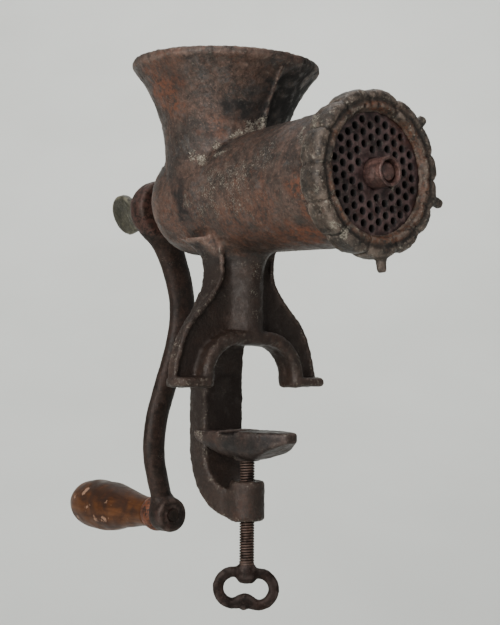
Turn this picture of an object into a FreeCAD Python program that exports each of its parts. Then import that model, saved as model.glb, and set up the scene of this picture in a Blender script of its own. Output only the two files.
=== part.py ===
"""A hand-cranked table mincer in cast iron, with its screw clamp.

Frame: +Z up, the barrel lies along Y with its perforated plate towards -Y and its crank at +Y.
The origin is on the table seat, in the plane of the feet's undersides, on the clamp screw's axis.
All sizes are in millimetres, and the driving ones are in the spreadsheet called dims.
"""
import FreeCAD, Part
import math
import os

import Sketcher

DIMENSIONS = {
    # barrel, along Y
    "axis_height": 102.6,
    "mouth_front": -93.6,
    "thread_radius": 37.2,
    "thread_rear": -84.5,
    "barrel_front": -81.5,
    "barrel_front_radius": 33.7,
    "barrel_back": 44.0,
    "barrel_back_radius": 29.9,
    "barrel_end": 62.0,
    "barrel_end_radius": 19.0,
    "end_rounding": 34.0,
    "bearing_end": 73.5,
    "bearing_radius": 12.3,
    "bore_front_radius": 30.6,
    "bore_back_radius": 26.2,
    "bore_end": 52.0,
    # hopper, about its own leaning axis
    "hopper_place": 22.5,
    "hopper_lean": 1.8,
    "flare_start": 122.0,
    "throat_radius": 31.8,
    "flare_radius": 75.0,
    "flare_height": 48.5,
    "rim_radius": 51.2,
    "rim_height": 53.7,
    "hopper_wall": 4.0,
    # stand
    "web_front": 0.5,
    "rib_radius": 7.8,
    "rib_flare_radius": 13.0,
    "arch_half_width": 26.6,
    "arch_height": 22.6,
    "arch_corner": 17.0,
    "bead_width": 7.0,
    "bead_front": -8.5,
    "bead_depth": 16.5,
    "foot_outer": 49.0,
    "foot_thickness": 5.0,
    "foot_corner": 6.0,
    # clamp frame
    "strap_half_width": 13.0,
    "strap_front": 20.2,
    "strap_back": 35.1,
    "strap_bend": 39.9,
    "strap_bend_top": -30.0,
    "strap_inner_bend": 18.0,
    "boss_radius": 9.2,
    "boss_top": -48.7,
    "boss_bottom": -69.6,
    # clamp screw, key and pad
    "screw_radius": 3.97,
    "screw_bottom": -95.0,
    "spigot_radius": 2.9,
    "spigot_shoulder": -30.0,
    "pad_top": -22.4,
    "pad_bottom": -38.4,
    "pad_tip": -36.6,
    "pad_tip_half_width": 3.2,
    "pad_half_width": 17.4,
    "pad_keel_top": -27.2,
    "pad_keel_half_width": 5.0,
    "pad_back": 28.0,
    "pad_slot_front": 19.0,
    "pad_slot_half_width": 13.5,
    "pad_groove_width": 12.0,
    "pad_groove_depth": 1.8,
    "key_half_width": 17.4,
    "key_top": -93.8,
    "key_bottom": -116.2,
    "key_thickness": 5.6,
    "key_turn": 38.0,
    "key_lean": 3.0,
    "key_offset": -0.6,
    # plate, ring nut and cutting parts
    "plate_front": -95.07,
    "plate_back": -87.07,
    "plate_radius": 35.0,
    "plate_hole_pitch": 5.75,
    "plate_hole_radius": 1.6,
    "plate_holes_from": 11.0,
    "plate_holes_to": 27.0,
    "plate_holes_turn": 7.1,
    "bush_radius": 7.3,
    "bush_front": -106.0,
    "stud_radius": 4.75,
    "stud_front": -104.6,
    "ring_front": -99.7,
    "ring_back": -85.5,
    "ring_radius": 40.8,
    "ring_lobe_depth": 2.0,
    "ring_opening_radius": 31.0,
    "ring_lip_radius": 29.0,
    "peg_radius": 2.7,
    "peg_place": -95.5,
    "notch_width": 4.4,
    "notch_depth": 3.2,
    "knife_back": -79.2,
    "knife_radius": 29.0,
    "knife_hub_radius": 10.5,
    "knife_square": 12.0,
    "auger_back": 50.2,
    "auger_core_radius": 11.0,
    "auger_front_radius": 29.4,
    "auger_back_radius": 24.8,
    "auger_pitch": 34.0,
    "auger_flight_thickness": 6.0,
    # shaft end and crank
    "journal_radius": 8.0,
    "journal_end": 77.1,
    "shaft_square": 11.0,
    "shaft_end": 90.6,
    "hub_front": 77.3,
    "hub_back": 92.3,
    "hub_radius": 16.4,
    "arm_plane": 83.6,
    "crank_radius": 176.9,
    "crank_angle": 2.08,
    "boss_front": 76.0,
    "boss_back": 87.0,
    "crank_boss_radius": 9.8,
    "collar_back": 96.5,
    "collar_radius": 10.6,
    "pin_radius": 3.5,
    "pin_end": 169.9,
    "grip_end": 177.6,
    "grip_radius": 15.2,
    "grip_neck_radius": 8.3,
    "grip_recess_depth": 9.0,
    "grip_recess_radius": 6.2,
    "thumb_radius": 12.2,
    "thumb_thickness": 4.6,
    "thumb_centre": 117.6,
    "thumb_turn": 21.0,
    "thumb_shank_radius": 3.9,
    # clearances
    "running_gap": 0.06,
    "face_gap": 0.1,
}

# The crank arm's centre line and section, from its hub down to its handle boss:
# height, sideways offset, width and depth.
ARM_STATIONS = (
    (98.0, 0.2, 26.0, 12.0),
    (88.0, 3.0, 22.8, 11.8),
    (76.0, 8.8, 19.0, 11.6),
    (62.0, 14.2, 17.6, 11.6),
    (44.0, 17.2, 16.4, 11.2),
    (24.0, 13.9, 15.6, 10.8),
    (2.0, 6.3, 14.8, 10.4),
    (-20.0, -0.5, 14.0, 10.2),
    (-40.0, -2.0, 13.4, 10.0),
    (-58.0, 1.9, 13.2, 10.0),
    (-68.0, 5.0, 13.2, 10.0),
)

# The stand's web, from the feet up to the barrel: height, half width and depth behind its front.
WEB_STATIONS = (
    (1.0, 48.0, 4.5),
    (12.5, 47.2, 4.5),
    (21.0, 44.8, 4.6),
    (33.7, 37.5, 5.2),
    (46.5, 25.8, 9.5),
    (55.0, 20.4, 12.5),
    (63.4, 17.8, 15.5),
    (70.0, 18.8, 16.5),
    (78.0, 24.0, 20.0),
)

# The wooden grip's outline: distance behind the collar as a share of its length, and radius as a
# share of the largest radius.
GRIP_STATIONS = (
    (0.10, 0.58),
    (0.21, 0.66),
    (0.35, 0.80),
    (0.50, 0.95),
    (0.64, 1.0),
    (0.76, 0.98),
    (0.87, 0.86),
    (0.96, 0.56),
)

# Where two neighbouring lobes of the ring nut meet, in degrees from the right, turning upwards.
RING_VALLEYS = (
    -155.0, -128.0, -101.0, -71.0, -44.0, -22.0, 0.0,
    19.5, 42.0, 71.5, 100.0, 126.0, 152.0, 178.0,
)

# The ring nut's pegs: direction in the same degrees, and how far the tip is from the axis.
RING_PEGS = ((-84.5, 47.3), (-13.5, 46.6), (43.0, 44.6))

BODIES = []

doc = FreeCAD.newDocument("table_mincer")
sheet = doc.addObject("Spreadsheet::Sheet", "dims")
for row, (alias, number) in enumerate(DIMENSIONS.items(), start=1):
    sheet.set("A%d" % row, alias)
    sheet.set("B%d" % row, str(number))
    sheet.setAlias("B%d" % row, alias)
doc.recompute()

UPRIGHT = FreeCAD.Rotation()
ALONG_Y = FreeCAD.Rotation(FreeCAD.Vector(1, 0, 0), -90)
# A sketch on SIDE has its x along the barrel and its y upwards; on FRONT its x is sideways.
SIDE = FreeCAD.Rotation(FreeCAD.Vector(0, 1, 0), FreeCAD.Vector(0, 0, 1), FreeCAD.Vector(1, 0, 0), "XYZ")
FRONT = FreeCAD.Rotation(FreeCAD.Vector(1, 0, 0), 90)


def size(expression):
    """The number that an expression of spreadsheet cells stands for."""
    result = sheet.evalExpression(str(expression))
    return float(getattr(result, "Value", result))


def bind(item, expressions):
    """Tie properties of an object to expressions of spreadsheet cells."""
    for name, expression in expressions.items():
        item.setExpression(name, str(expression))


def place(item, rotation, x="0", y="0", z="0"):
    item.Placement = FreeCAD.Placement(FreeCAD.Vector(size(x), size(y), size(z)), rotation)
    bind(item, {"Placement.Base.x": x, "Placement.Base.y": y, "Placement.Base.z": z})
    return item


def rod(name, radius, length, rotation=ALONG_Y, x="0", y="0", z="dims.axis_height"):
    item = doc.addObject("Part::Cylinder", name)
    bind(item, {"Radius": radius, "Height": length})
    return place(item, rotation, x, y, z)


def cone(name, radius_low, radius_high, length, rotation=UPRIGHT, x="0", y="0", z="0"):
    item = doc.addObject("Part::Cone", name)
    bind(item, {"Radius1": radius_low, "Radius2": radius_high, "Height": length})
    return place(item, rotation, x, y, z)


def block(name, length, width, height, x, y, z, rotation=UPRIGHT):
    item = doc.addObject("Part::Box", name)
    bind(item, {"Length": length, "Width": width, "Height": height})
    return place(item, rotation, x, y, z)


def joined(name, pieces):
    item = doc.addObject("Part::MultiFuse", name)
    item.Shapes = pieces
    item.Refine = True
    return item


def without(name, base, tools):
    item = doc.addObject("Part::Cut", name)
    item.Base = base
    item.Tool = tools[0] if len(tools) == 1 else joined(name + "_tools", tools)
    item.Refine = True
    return item


def overlap(name, pieces):
    item = doc.addObject("Part::MultiCommon", name)
    item.Shapes = pieces
    item.Refine = True
    return item


def keep(item, node):
    """Name a finished sub-part, which is written to the file of that name."""
    item.Label = node
    BODIES.append(item)
    return item


def pin_point(sketch, geometry, end, x, y):
    """Fix one end of a sketch line at expressions for its two coordinates."""
    for axis, kind, expression in ((-2, "DistanceX", x), (-1, "DistanceY", y)):
        if abs(size(expression)) < 1e-9:
            sketch.addConstraint(Sketcher.Constraint("PointOnObject", geometry, end, axis))
            continue
        mark = sketch.addConstraint(Sketcher.Constraint(kind, -1, 1, geometry, end, size(expression)))
        sketch.setExpression("Constraints[%d]" % mark, str(expression))


def arc_between(start, end, radius, turn):
    """An arc from start to end, turning left when turn is 1 and right when it is -1."""
    chord = end - start
    rise = math.sqrt(max(radius ** 2 - (chord.Length / 2) ** 2, 0.0))
    side = FreeCAD.Vector(-chord.y, chord.x, 0).normalize()
    centre = start + chord * 0.5 + side * (rise * turn)
    first, last = (start, end) if turn > 0 else (end, start)
    angles = [math.atan2(point.y - centre.y, point.x - centre.x) for point in (first, last)]
    circle = Part.Circle(centre, FreeCAD.Vector(0, 0, 1), radius)
    return Part.ArcOfCircle(circle, angles[0], angles[1])


def outline(name, rotation, corners, x="0", y="0", z="0"):
    """A closed sketch. Each corner is (x, y), or (x, y, radius, turn) where an arc leads to it."""
    sketch = place(doc.addObject("Sketcher::SketchObject", name), rotation, x, y, z)
    points = [FreeCAD.Vector(size(corner[0]), size(corner[1]), 0) for corner in corners]
    ends = []
    for number, corner in enumerate(corners):
        start, end = points[number - 1], points[number]
        if len(corner) == 2:
            edge = sketch.addGeometry(Part.LineSegment(start, end))
            ends.append((edge, 1, 2))
            continue
        edge = sketch.addGeometry(arc_between(start, end, size(corner[2]), corner[3]))
        ends.append((edge, 1, 2) if corner[3] > 0 else (edge, 2, 1))
        mark = sketch.addConstraint(Sketcher.Constraint("Radius", edge, size(corner[2])))
        sketch.setExpression("Constraints[%d]" % mark, str(corner[2]))
    for number, (edge, first, last) in enumerate(ends):
        before, _, before_last = ends[number - 1]
        sketch.addConstraint(Sketcher.Constraint("Coincident", before, before_last, edge, first))
        pin_point(sketch, edge, last, corners[number][0], corners[number][1])
    return sketch


def turned(name, sketch, axis, x="0", z="0"):
    """Revolve an outline about an axis through (x, 0, z)."""
    item = doc.addObject("Part::Revolution", name)
    item.Source = sketch
    item.Axis = axis
    item.Angle = 360
    item.Solid = True
    bind(item, {"Base.x": x, "Base.z": z})
    return item


def turned_about_y(name, corners, x="0", z="dims.axis_height"):
    """Revolve (y, radius) corners about a line along Y."""
    sketch = outline(name + "_outline", SIDE, corners, x, "0", z)
    return turned(name, sketch, FreeCAD.Vector(0, 1, 0), x, z)


def extruded(name, sketch, direction, forward, back="0"):
    item = doc.addObject("Part::Extrusion", name)
    item.Base = sketch
    item.DirMode = "Custom"
    item.Dir = direction
    item.Solid = True
    bind(item, {"LengthFwd": forward, "LengthRev": back})
    return item


def rounded(name, base, radius, wanted):
    """Fillet the edges for which wanted(edge) is true."""
    item = doc.addObject("Part::Fillet", name)
    item.Base = base
    doc.recompute()
    chosen = [number for number, edge in enumerate(base.Shape.Edges, start=1) if wanted(edge)]
    item.Edges = [(number, radius, radius) for number in chosen]
    return item


# ---------------------------------------------------------------- body casting

def barrel_solid():
    barrel = [
        ("dims.mouth_front", "0"),
        ("dims.mouth_front", "dims.thread_radius"),
        ("dims.thread_rear", "dims.thread_radius"),
        ("dims.barrel_front", "dims.barrel_front_radius"),
        ("dims.barrel_back", "dims.barrel_back_radius"),
        ("dims.barrel_end", "dims.barrel_end_radius", "dims.end_rounding", -1),
        ("dims.barrel_end", "dims.bearing_radius"),
        ("dims.bearing_end", "dims.bearing_radius"),
        ("dims.bearing_end", "0"),
    ]
    return turned_about_y("barrel", barrel)


def barrel_bore():
    """The room inside the barrel: plate seat, screw chamber and bearing."""
    seat_radius = "dims.plate_radius + dims.running_gap"
    bearing_bore = "dims.journal_radius + dims.running_gap"
    bore = [
        ("dims.mouth_front - 1", "0"),
        ("dims.mouth_front - 1", seat_radius),
        ("dims.plate_back + dims.face_gap", seat_radius),
        ("dims.plate_back + dims.face_gap", "dims.bore_front_radius"),
        ("dims.bore_end", "dims.bore_back_radius"),
        ("dims.bore_end", bearing_bore),
        ("dims.bearing_end + 1", bearing_bore),
        ("dims.bearing_end + 1", "0"),
    ]
    return turned_about_y("bore", bore)


def flare_outline(name, wall, foot, lip):
    """The hopper's trumpet about Z, thinner by wall, from foot below the flare to lip above it."""
    throat = "dims.throat_radius - %s" % wall
    bend = "dims.flare_radius + %s" % wall
    flare_end = "dims.throat_radius + dims.flare_radius - sqrt((%s)^2 - dims.flare_height^2)" % bend
    edge = "dims.rim_radius - %s" % wall
    corners = [
        ("0", foot),
        (throat, foot),
        (throat, "0"),
        (flare_end, "dims.flare_height", bend, -1),
        (edge, "dims.flare_height + 0.8"),
        (edge, lip),
        ("0", lip),
    ]
    return outline(name, FRONT, corners)


def hopper_piece(name, wall, foot, lip):
    item = turned(name, flare_outline(name + "_outline", wall, foot, lip), FreeCAD.Vector(0, 0, 1))
    lean = FreeCAD.Rotation(FreeCAD.Vector(1, 0, 0), size("dims.hopper_lean"))
    return place(item, lean, "0", "dims.hopper_place", "dims.flare_start")


def web_solid():
    """The stand's web: a loft through level rectangles."""
    sections = []
    for number, (height, half_width, depth) in enumerate(WEB_STATIONS):
        corners = [(half_width, 0), (half_width, depth), (-half_width, depth), (-half_width, 0)]
        section = outline("web_section_%d" % number, UPRIGHT, corners, "0", "dims.web_front", str(height))
        sections.append(section)
    web = doc.addObject("Part::Loft", "web")
    web.Sections = sections
    web.Solid = True
    web.Ruled = False
    return web


def rib_pieces():
    """The half-round rib down the web's front, which flares out under the barrel."""
    flare_height = 16
    rib_base = "dims.arch_height + 2"
    rib_top = "dims.axis_height - dims.barrel_back_radius - %d" % (flare_height - 4)
    straight = rod("rib", "dims.rib_radius", "%s - (%s)" % (rib_top, rib_base), UPRIGHT,
                   y="dims.web_front", z=rib_base)
    flare = cone("rib_flare", "dims.rib_radius", "dims.rib_flare_radius", flare_height,
                 y="dims.web_front", z=rib_top)
    return [straight, flare]


def arch_opening():
    """The room between the legs, through bead and web."""
    straight = "dims.arch_height - dims.arch_corner"
    flat = "dims.arch_half_width - dims.arch_corner"
    sketch = outline("arch_opening_outline", FRONT, [
        ("-dims.arch_half_width", "-1"),
        ("dims.arch_half_width", "-1"),
        ("dims.arch_half_width", straight),
        (flat, "dims.arch_height", "dims.arch_corner", 1),
        ("-(%s)" % flat, "dims.arch_height"),
        ("-dims.arch_half_width", straight, "dims.arch_corner", 1),
    ], "0", "dims.bead_front - 1", "0")
    return extruded("arch_opening", sketch, FreeCAD.Vector(0, 1, 0), "dims.bead_depth + 2")


def arch_solid():
    """The rounded bead round the opening between the legs, and the legs' front."""
    inner_x = "dims.arch_half_width"
    outer_x = "dims.arch_half_width + dims.bead_width"
    outer_top = "dims.arch_height + dims.bead_width"
    outer_corner = "dims.arch_corner + dims.bead_width"
    half = [
        (inner_x, "0"),
        (outer_x, "0"),
        (outer_x, "dims.arch_height - dims.arch_corner"),
        ("dims.arch_half_width - dims.arch_corner", outer_top, outer_corner, 1),
    ]
    left = [("-(%s)" % x, y) + tuple(rest) for x, y, *rest in half]
    inner = [
        (inner_x, "dims.arch_height - dims.arch_corner"),
        ("dims.arch_half_width - dims.arch_corner", "dims.arch_height", "dims.arch_corner", 1),
    ]
    corners = half + [
        (left[3][0], outer_top),
        (left[2][0], left[2][1], outer_corner, 1),
        left[1],
        left[0],
        ("-(%s)" % inner_x, inner[0][1]),
        ("-(%s)" % inner[1][0], inner[1][1], "dims.arch_corner", -1),
        inner[1][:2],
        (inner_x, inner[0][1], "dims.arch_corner", -1),
    ]
    sketch = outline("arch_outline", FRONT, corners, "0", "dims.bead_front", "0")
    return extruded("arch", sketch, FreeCAD.Vector(0, 1, 0), "dims.bead_depth")


def foot_solid(side):
    inner = "%d * dims.arch_half_width" % side
    outer = "%d * dims.foot_outer" % side
    near_outer = "%d * (dims.foot_outer - dims.foot_corner)" % side
    back = "dims.bead_front + dims.bead_depth"
    corners = [
        (inner, "dims.bead_front"),
        (near_outer, "dims.bead_front"),
        (outer, "dims.bead_front + dims.foot_corner", "dims.foot_corner", side),
        (outer, "%s - dims.foot_corner" % back),
        (near_outer, back, "dims.foot_corner", side),
        (inner, back),
    ]
    name = "right_foot" if side > 0 else "left_foot"
    sketch = outline(name + "_outline", UPRIGHT, corners)
    foot = extruded(name, sketch, FreeCAD.Vector(0, 0, 1), "dims.foot_thickness")
    edge_limit = size("dims.foot_outer") - size("dims.foot_corner") - 1
    top = size("dims.foot_thickness") - 0.1

    def outer_top(edge):
        box = edge.BoundBox
        return box.ZMin > top and min(abs(box.XMin), abs(box.XMax)) > edge_limit

    return rounded(name + "_rounded", foot, 2.2, outer_top)


def strap_solid():
    """The C-shaped strap from the stand's back, behind the table's edge, down to the screw boss."""
    neck_back = "dims.strap_back - 13.6"
    neck_front = "dims.web_front + 3"
    inner_floor = "dims.boss_bottom + 16.1"
    side = [
        (neck_front, "dims.axis_height - dims.barrel_back_radius + 6"),
        (neck_front, "34"),
        ("dims.strap_front", "21"),
        ("dims.strap_front", inner_floor + " + dims.strap_inner_bend"),
        ("dims.strap_front - dims.strap_inner_bend", inner_floor, "dims.strap_inner_bend", -1),
        ("-1", inner_floor),
        ("-1", "dims.boss_bottom"),
        ("2", "dims.boss_bottom"),
        ("dims.strap_back", "dims.strap_bend_top", "dims.strap_bend", 1),
        ("dims.strap_back", "36"),
        ("dims.strap_back - 6.8", "48", "20", 1),
        (neck_back, "60", "20", -1),
        (neck_back, "dims.axis_height - dims.barrel_back_radius + 6"),
    ]
    side_sketch = outline("strap_side", SIDE, side, "-dims.strap_half_width", "0", "0")
    body = extruded("strap_body", side_sketch, FreeCAD.Vector(1, 0, 0), "2 * dims.strap_half_width")
    plan = [
        ("-dims.boss_radius", "-2"),
        ("dims.boss_radius", "-2"),
        ("dims.boss_radius", "4"),
        ("dims.strap_half_width", "dims.strap_front"),
        ("dims.strap_half_width", "dims.strap_back + 1"),
        ("-dims.strap_half_width", "dims.strap_back + 1"),
        ("-dims.strap_half_width", "dims.strap_front"),
        ("-dims.boss_radius", "4"),
    ]
    lower = extruded("strap_lower", outline("strap_plan", UPRIGHT, plan), FreeCAD.Vector(0, 0, 1), "0",
                     "80")
    upper = block("strap_upper", "2 * dims.strap_half_width", "40", "80", "-dims.strap_half_width",
                  "dims.web_front", "0")
    return overlap("strap", [body, joined("strap_envelope", [lower, upper])])


def casting():
    outside = [barrel_solid()]
    outside.append(hopper_piece("hopper", "0", "-20", "dims.rim_height"))
    outside.append(web_solid())
    outside += rib_pieces()
    outside.append(arch_solid())
    outside += [foot_solid(-1), foot_solid(1)]
    outside.append(strap_solid())
    boss = rod("screw_boss", "dims.boss_radius", "dims.boss_top - dims.boss_bottom", UPRIGHT,
               z="dims.boss_bottom")
    outside.append(rounded("screw_boss_rounded", boss, 1.2, lambda edge: edge.Length > 30))
    inside = [barrel_bore()]
    inside.append(hopper_piece("hopper_inside", "dims.hopper_wall", "-19", "dims.rim_height + 2"))
    screw_hole = rod("screw_hole", "dims.screw_radius + dims.running_gap",
                     "dims.boss_top - dims.boss_bottom + 4", UPRIGHT, z="dims.boss_bottom - 2")
    inside.append(screw_hole)
    inside.append(arch_opening())
    keep(without("casting", joined("casting_outside", outside), inside), "body_casting")


# ---------------------------------------------------------------- plate and ring nut

def locating_pin():
    """The stub in the barrel's mouth that stops the plate turning."""
    width = "dims.notch_width - 0.4"
    pin = block("pin_block", width, "dims.plate_back - dims.mouth_front", "dims.notch_depth + 0.6",
                "-(%s) / 2" % width, "dims.mouth_front",
                "dims.axis_height - dims.plate_radius - 1")
    seat = rod("pin_seat", "dims.plate_radius + dims.running_gap", "dims.plate_back - dims.mouth_front",
               y="dims.mouth_front")
    keep(overlap("pin_on_seat", [pin, seat]), "plate_locating_stub")


def hole_centres():
    """Centres of the plate's holes, on a triangular grid that is turned a little on the plate."""
    pitch = size("dims.plate_hole_pitch")
    turn = math.radians(size("dims.plate_holes_turn"))
    inner, outer = size("dims.plate_holes_from"), size("dims.plate_holes_to")
    column_step = pitch * math.sqrt(3) / 2
    reach = int(outer / column_step) + 1
    centres = []
    for column in range(-reach, reach + 1):
        for line in range(-2 * reach, 2 * reach + 1):
            across = column * column_step
            up = (line + 0.5 * (column % 2)) * pitch
            if inner < math.hypot(across, up) < outer:
                x = across * math.cos(turn) - up * math.sin(turn)
                z = across * math.sin(turn) + up * math.cos(turn)
                centres.append((x, z))
    return centres


def grinding_plate():
    thickness = "dims.plate_back - dims.plate_front"
    disc = rod("plate_disc", "dims.plate_radius", thickness, y="dims.plate_front")
    tools = [rod("plate_centre", "dims.bush_radius", thickness + " + 2", y="dims.plate_front - 1")]
    tools.append(block("plate_notch", "dims.notch_width", thickness + " + 2", "dims.notch_depth + 1",
                       "-dims.notch_width / 2", "dims.plate_front - 1",
                       "dims.axis_height - dims.plate_radius - 1"))
    for number, (x, z) in enumerate(hole_centres()):
        tools.append(rod("plate_hole_%d" % number, "dims.plate_hole_radius", thickness + " + 2",
                         x=str(x), y="dims.plate_front - 1", z="dims.axis_height + (%f)" % z))
    keep(without("plate", disc, tools), "grinding_plate")


def plate_bush():
    """The bush pressed into the plate, in which the screw's stud runs."""
    recess = "dims.stud_radius + 0.9"
    bore = "dims.stud_radius + dims.running_gap"
    corners = [
        ("dims.plate_back", bore),
        ("dims.plate_back", "dims.bush_radius"),
        ("dims.bush_front + 1.2", "dims.bush_radius"),
        ("dims.bush_front", "dims.bush_radius - 1.2", "1.2", 1),
        ("dims.bush_front", recess),
        ("dims.bush_front + 5", recess),
        ("dims.bush_front + 5", bore),
    ]
    keep(turned_about_y("plate_bush", corners), "plate_bush")


def lobed_outline(name, radius, depth):
    """A closed outline of convex arcs that meet in valleys, every arc reaching the same radius."""
    valley_radius = radius - depth
    corners = []
    for number, angle in enumerate(RING_VALLEYS):
        half_step = math.radians((angle - RING_VALLEYS[number - 1]) % 360) / 2
        half_chord = valley_radius * math.sin(half_step)
        rise = radius - valley_radius * math.cos(half_step)
        bulge = (half_chord ** 2 + rise ** 2) / (2 * rise)
        direction = math.radians(angle)
        corners.append((valley_radius * math.cos(direction), valley_radius * math.sin(direction), bulge, 1))
    return outline(name, FRONT, corners, "0", "dims.ring_front", "dims.axis_height")


def ring_peg(name, angle, tip_radius):
    """One of the short pegs by which the ring nut is knocked loose."""
    root = size("dims.ring_radius") - 3
    direction = FreeCAD.Vector(math.cos(math.radians(angle)), 0, math.sin(math.radians(angle)))
    peg = doc.addObject("Part::Cylinder", name)
    bind(peg, {"Radius": "dims.peg_radius", "Height": "%s - dims.ring_radius + 3" % tip_radius})
    foot = FreeCAD.Vector(0, size("dims.peg_place"), size("dims.axis_height")) + direction * root
    peg.Placement = FreeCAD.Placement(foot, FreeCAD.Rotation(FreeCAD.Vector(0, 0, 1), direction))
    return rounded(name + "_rounded", peg, 0.9, lambda edge: edge.Length > 10)


def ring_nut():
    lobes = lobed_outline("ring_outline", size("dims.ring_radius"), size("dims.ring_lobe_depth"))
    body = extruded("ring_body", lobes, FreeCAD.Vector(0, 1, 0), "dims.ring_back - dims.ring_front")
    envelope = turned_about_y("ring_envelope", [
        ("dims.ring_front", "0"),
        ("dims.ring_front", "dims.ring_radius - 4.5"),
        ("dims.ring_front + 3.4", "dims.ring_radius + 0.5", "6", -1),
        ("dims.ring_back - 2", "dims.ring_radius + 0.5"),
        ("dims.ring_back", "dims.ring_radius - 1.5"),
        ("dims.ring_back", "0"),
    ])
    pieces = [overlap("ring_blank", [body, envelope])]
    for number, (angle, tip_radius) in enumerate(RING_PEGS):
        pieces.append(ring_peg("ring_peg_%d" % number, angle, tip_radius))
    bore_radius = "dims.thread_radius + dims.running_gap"
    inside = turned_about_y("ring_inside", [
        ("dims.ring_front - 1", "0"),
        ("dims.ring_front - 1", "dims.ring_opening_radius"),
        ("dims.ring_front", "dims.ring_opening_radius"),
        ("dims.plate_front - dims.face_gap", "dims.ring_lip_radius"),
        ("dims.plate_front - dims.face_gap", bore_radius),
        ("dims.ring_back + 1", bore_radius),
        ("dims.ring_back + 1", "0"),
    ])
    keep(without("ring", joined("ring_outside", pieces), [inside]), "ring_nut")


# ---------------------------------------------------------------- cutting parts and feed screw

def cutter_stud():
    """The stud screwed into the feed screw's nose; it carries the front end in the plate's bush."""
    corners = [
        ("dims.stud_front", "0"),
        ("dims.stud_front", "dims.stud_radius - 1"),
        ("dims.stud_front + 1", "dims.stud_radius"),
        ("dims.knife_back + 20", "dims.stud_radius"),
        ("dims.knife_back + 20", "0"),
    ]
    keep(turned_about_y("stud", corners), "cutter_stud")


def cutter_knife():
    """Four blades on a hub with a square hole."""
    front = "dims.plate_back + dims.face_gap"
    thickness = "dims.knife_back - (%s)" % front
    pieces = [rod("knife_hub", "dims.knife_hub_radius", thickness, y=front)]
    blade_width = 9.0
    for number in range(2):
        blade = doc.addObject("Part::Box", "knife_blades_%d" % number)
        bind(blade, {"Length": "2 * dims.knife_radius", "Width": thickness, "Height": str(blade_width)})
        spin = FreeCAD.Rotation(FreeCAD.Vector(0, 1, 0), 90.0 * number)
        corner = spin.multVec(FreeCAD.Vector(-size("dims.knife_radius"), 0, -blade_width / 2))
        corner += FreeCAD.Vector(0, size(front), size("dims.axis_height"))
        blade.Placement = FreeCAD.Placement(corner, spin)
        pieces.append(blade)
    limit = rod("knife_limit", "dims.knife_radius", thickness, y=front)
    blades = overlap("knife_blank", [joined("knife_cross", pieces), limit])
    square = "dims.knife_square + 0.2"
    hole = block("knife_square_hole", square, thickness + " + 2", square, "-(%s) / 2" % square,
                 front + " - 1", "dims.axis_height - (%s) / 2" % square)
    keep(without("knife", blades, [hole]), "cutter_knife")


def flight():
    """The feed screw's helical flight, which tapers with the bore."""
    front = size("dims.knife_back") + 3
    back = size("dims.auger_back") - 8
    length = back - front
    pitch = size("dims.auger_pitch")
    depth = size("dims.auger_core_radius") - 2
    half = size("dims.auger_flight_thickness") / 2
    outer_front = size("dims.auger_front_radius")
    spine = Part.makeHelix(pitch, length - 2 * half, outer_front)
    profile = Part.makePolygon([
        FreeCAD.Vector(depth, 0, -half),
        FreeCAD.Vector(outer_front, 0, -half * 0.7),
        FreeCAD.Vector(outer_front, 0, half * 0.7),
        FreeCAD.Vector(depth, 0, half),
        FreeCAD.Vector(depth, 0, -half),
    ])
    pipe = Part.Wire(spine.Edges).makePipeShell([profile], True, True)
    item = doc.addObject("Part::Feature", "flight")
    item.Shape = pipe
    place(item, ALONG_Y, "0", str(front + half), "dims.axis_height")
    room = turned_about_y("flight_room", [
        ("dims.knife_back", "0"),
        ("dims.knife_back", "dims.auger_front_radius"),
        ("dims.auger_back", "dims.auger_back_radius"),
        ("dims.auger_back", "0"),
    ])
    return overlap("tapered_flight", [item, room])


def feed_screw():
    square_core = block("screw_nose", "dims.knife_square", "dims.knife_back - dims.plate_back - 0.6",
                        "dims.knife_square", "-dims.knife_square / 2", "dims.plate_back + 0.6",
                        "dims.axis_height - dims.knife_square / 2")
    core = turned_about_y("screw_core", [
        ("dims.knife_back", "0"),
        ("dims.knife_back", "dims.auger_core_radius"),
        ("dims.auger_back", "dims.auger_core_radius + 3"),
        ("dims.auger_back", "dims.journal_radius"),
        ("dims.journal_end", "dims.journal_radius"),
        ("dims.journal_end", "0"),
    ])
    tail = block("shaft_square_end", "dims.shaft_square", "dims.shaft_end - dims.journal_end + 1",
                 "dims.shaft_square", "-dims.shaft_square / 2", "dims.journal_end - 1",
                 "dims.axis_height - dims.shaft_square / 2")
    solid = joined("screw_solid", [core, square_core, tail, flight()])
    stud_hole = rod("stud_hole", "dims.stud_radius", "21 + dims.knife_back - dims.plate_back",
                    y="dims.plate_back - 1")
    thumb_hole = rod("thumb_hole", "dims.thumb_shank_radius + dims.running_gap", "24",
                     y="dims.shaft_end - 22")
    keep(without("screw", solid, [stud_hole, thumb_hole]), "feed_screw")


def thrust_washer():
    washer = rod("washer_disc", "dims.auger_core_radius + 4", "dims.bore_end - dims.auger_back - 0.3",
                 y="dims.auger_back + 0.15")
    hole = rod("washer_hole", "dims.journal_radius + dims.running_gap", "4", y="dims.auger_back - 1")
    keep(without("thrust_washer_cut", washer, [hole]), "thrust_washer")


# ---------------------------------------------------------------- crank

HANDLE_X = "dims.crank_radius * sin(dims.crank_angle)"
HANDLE_Z = "dims.axis_height - dims.crank_radius * cos(dims.crank_angle)"


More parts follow.
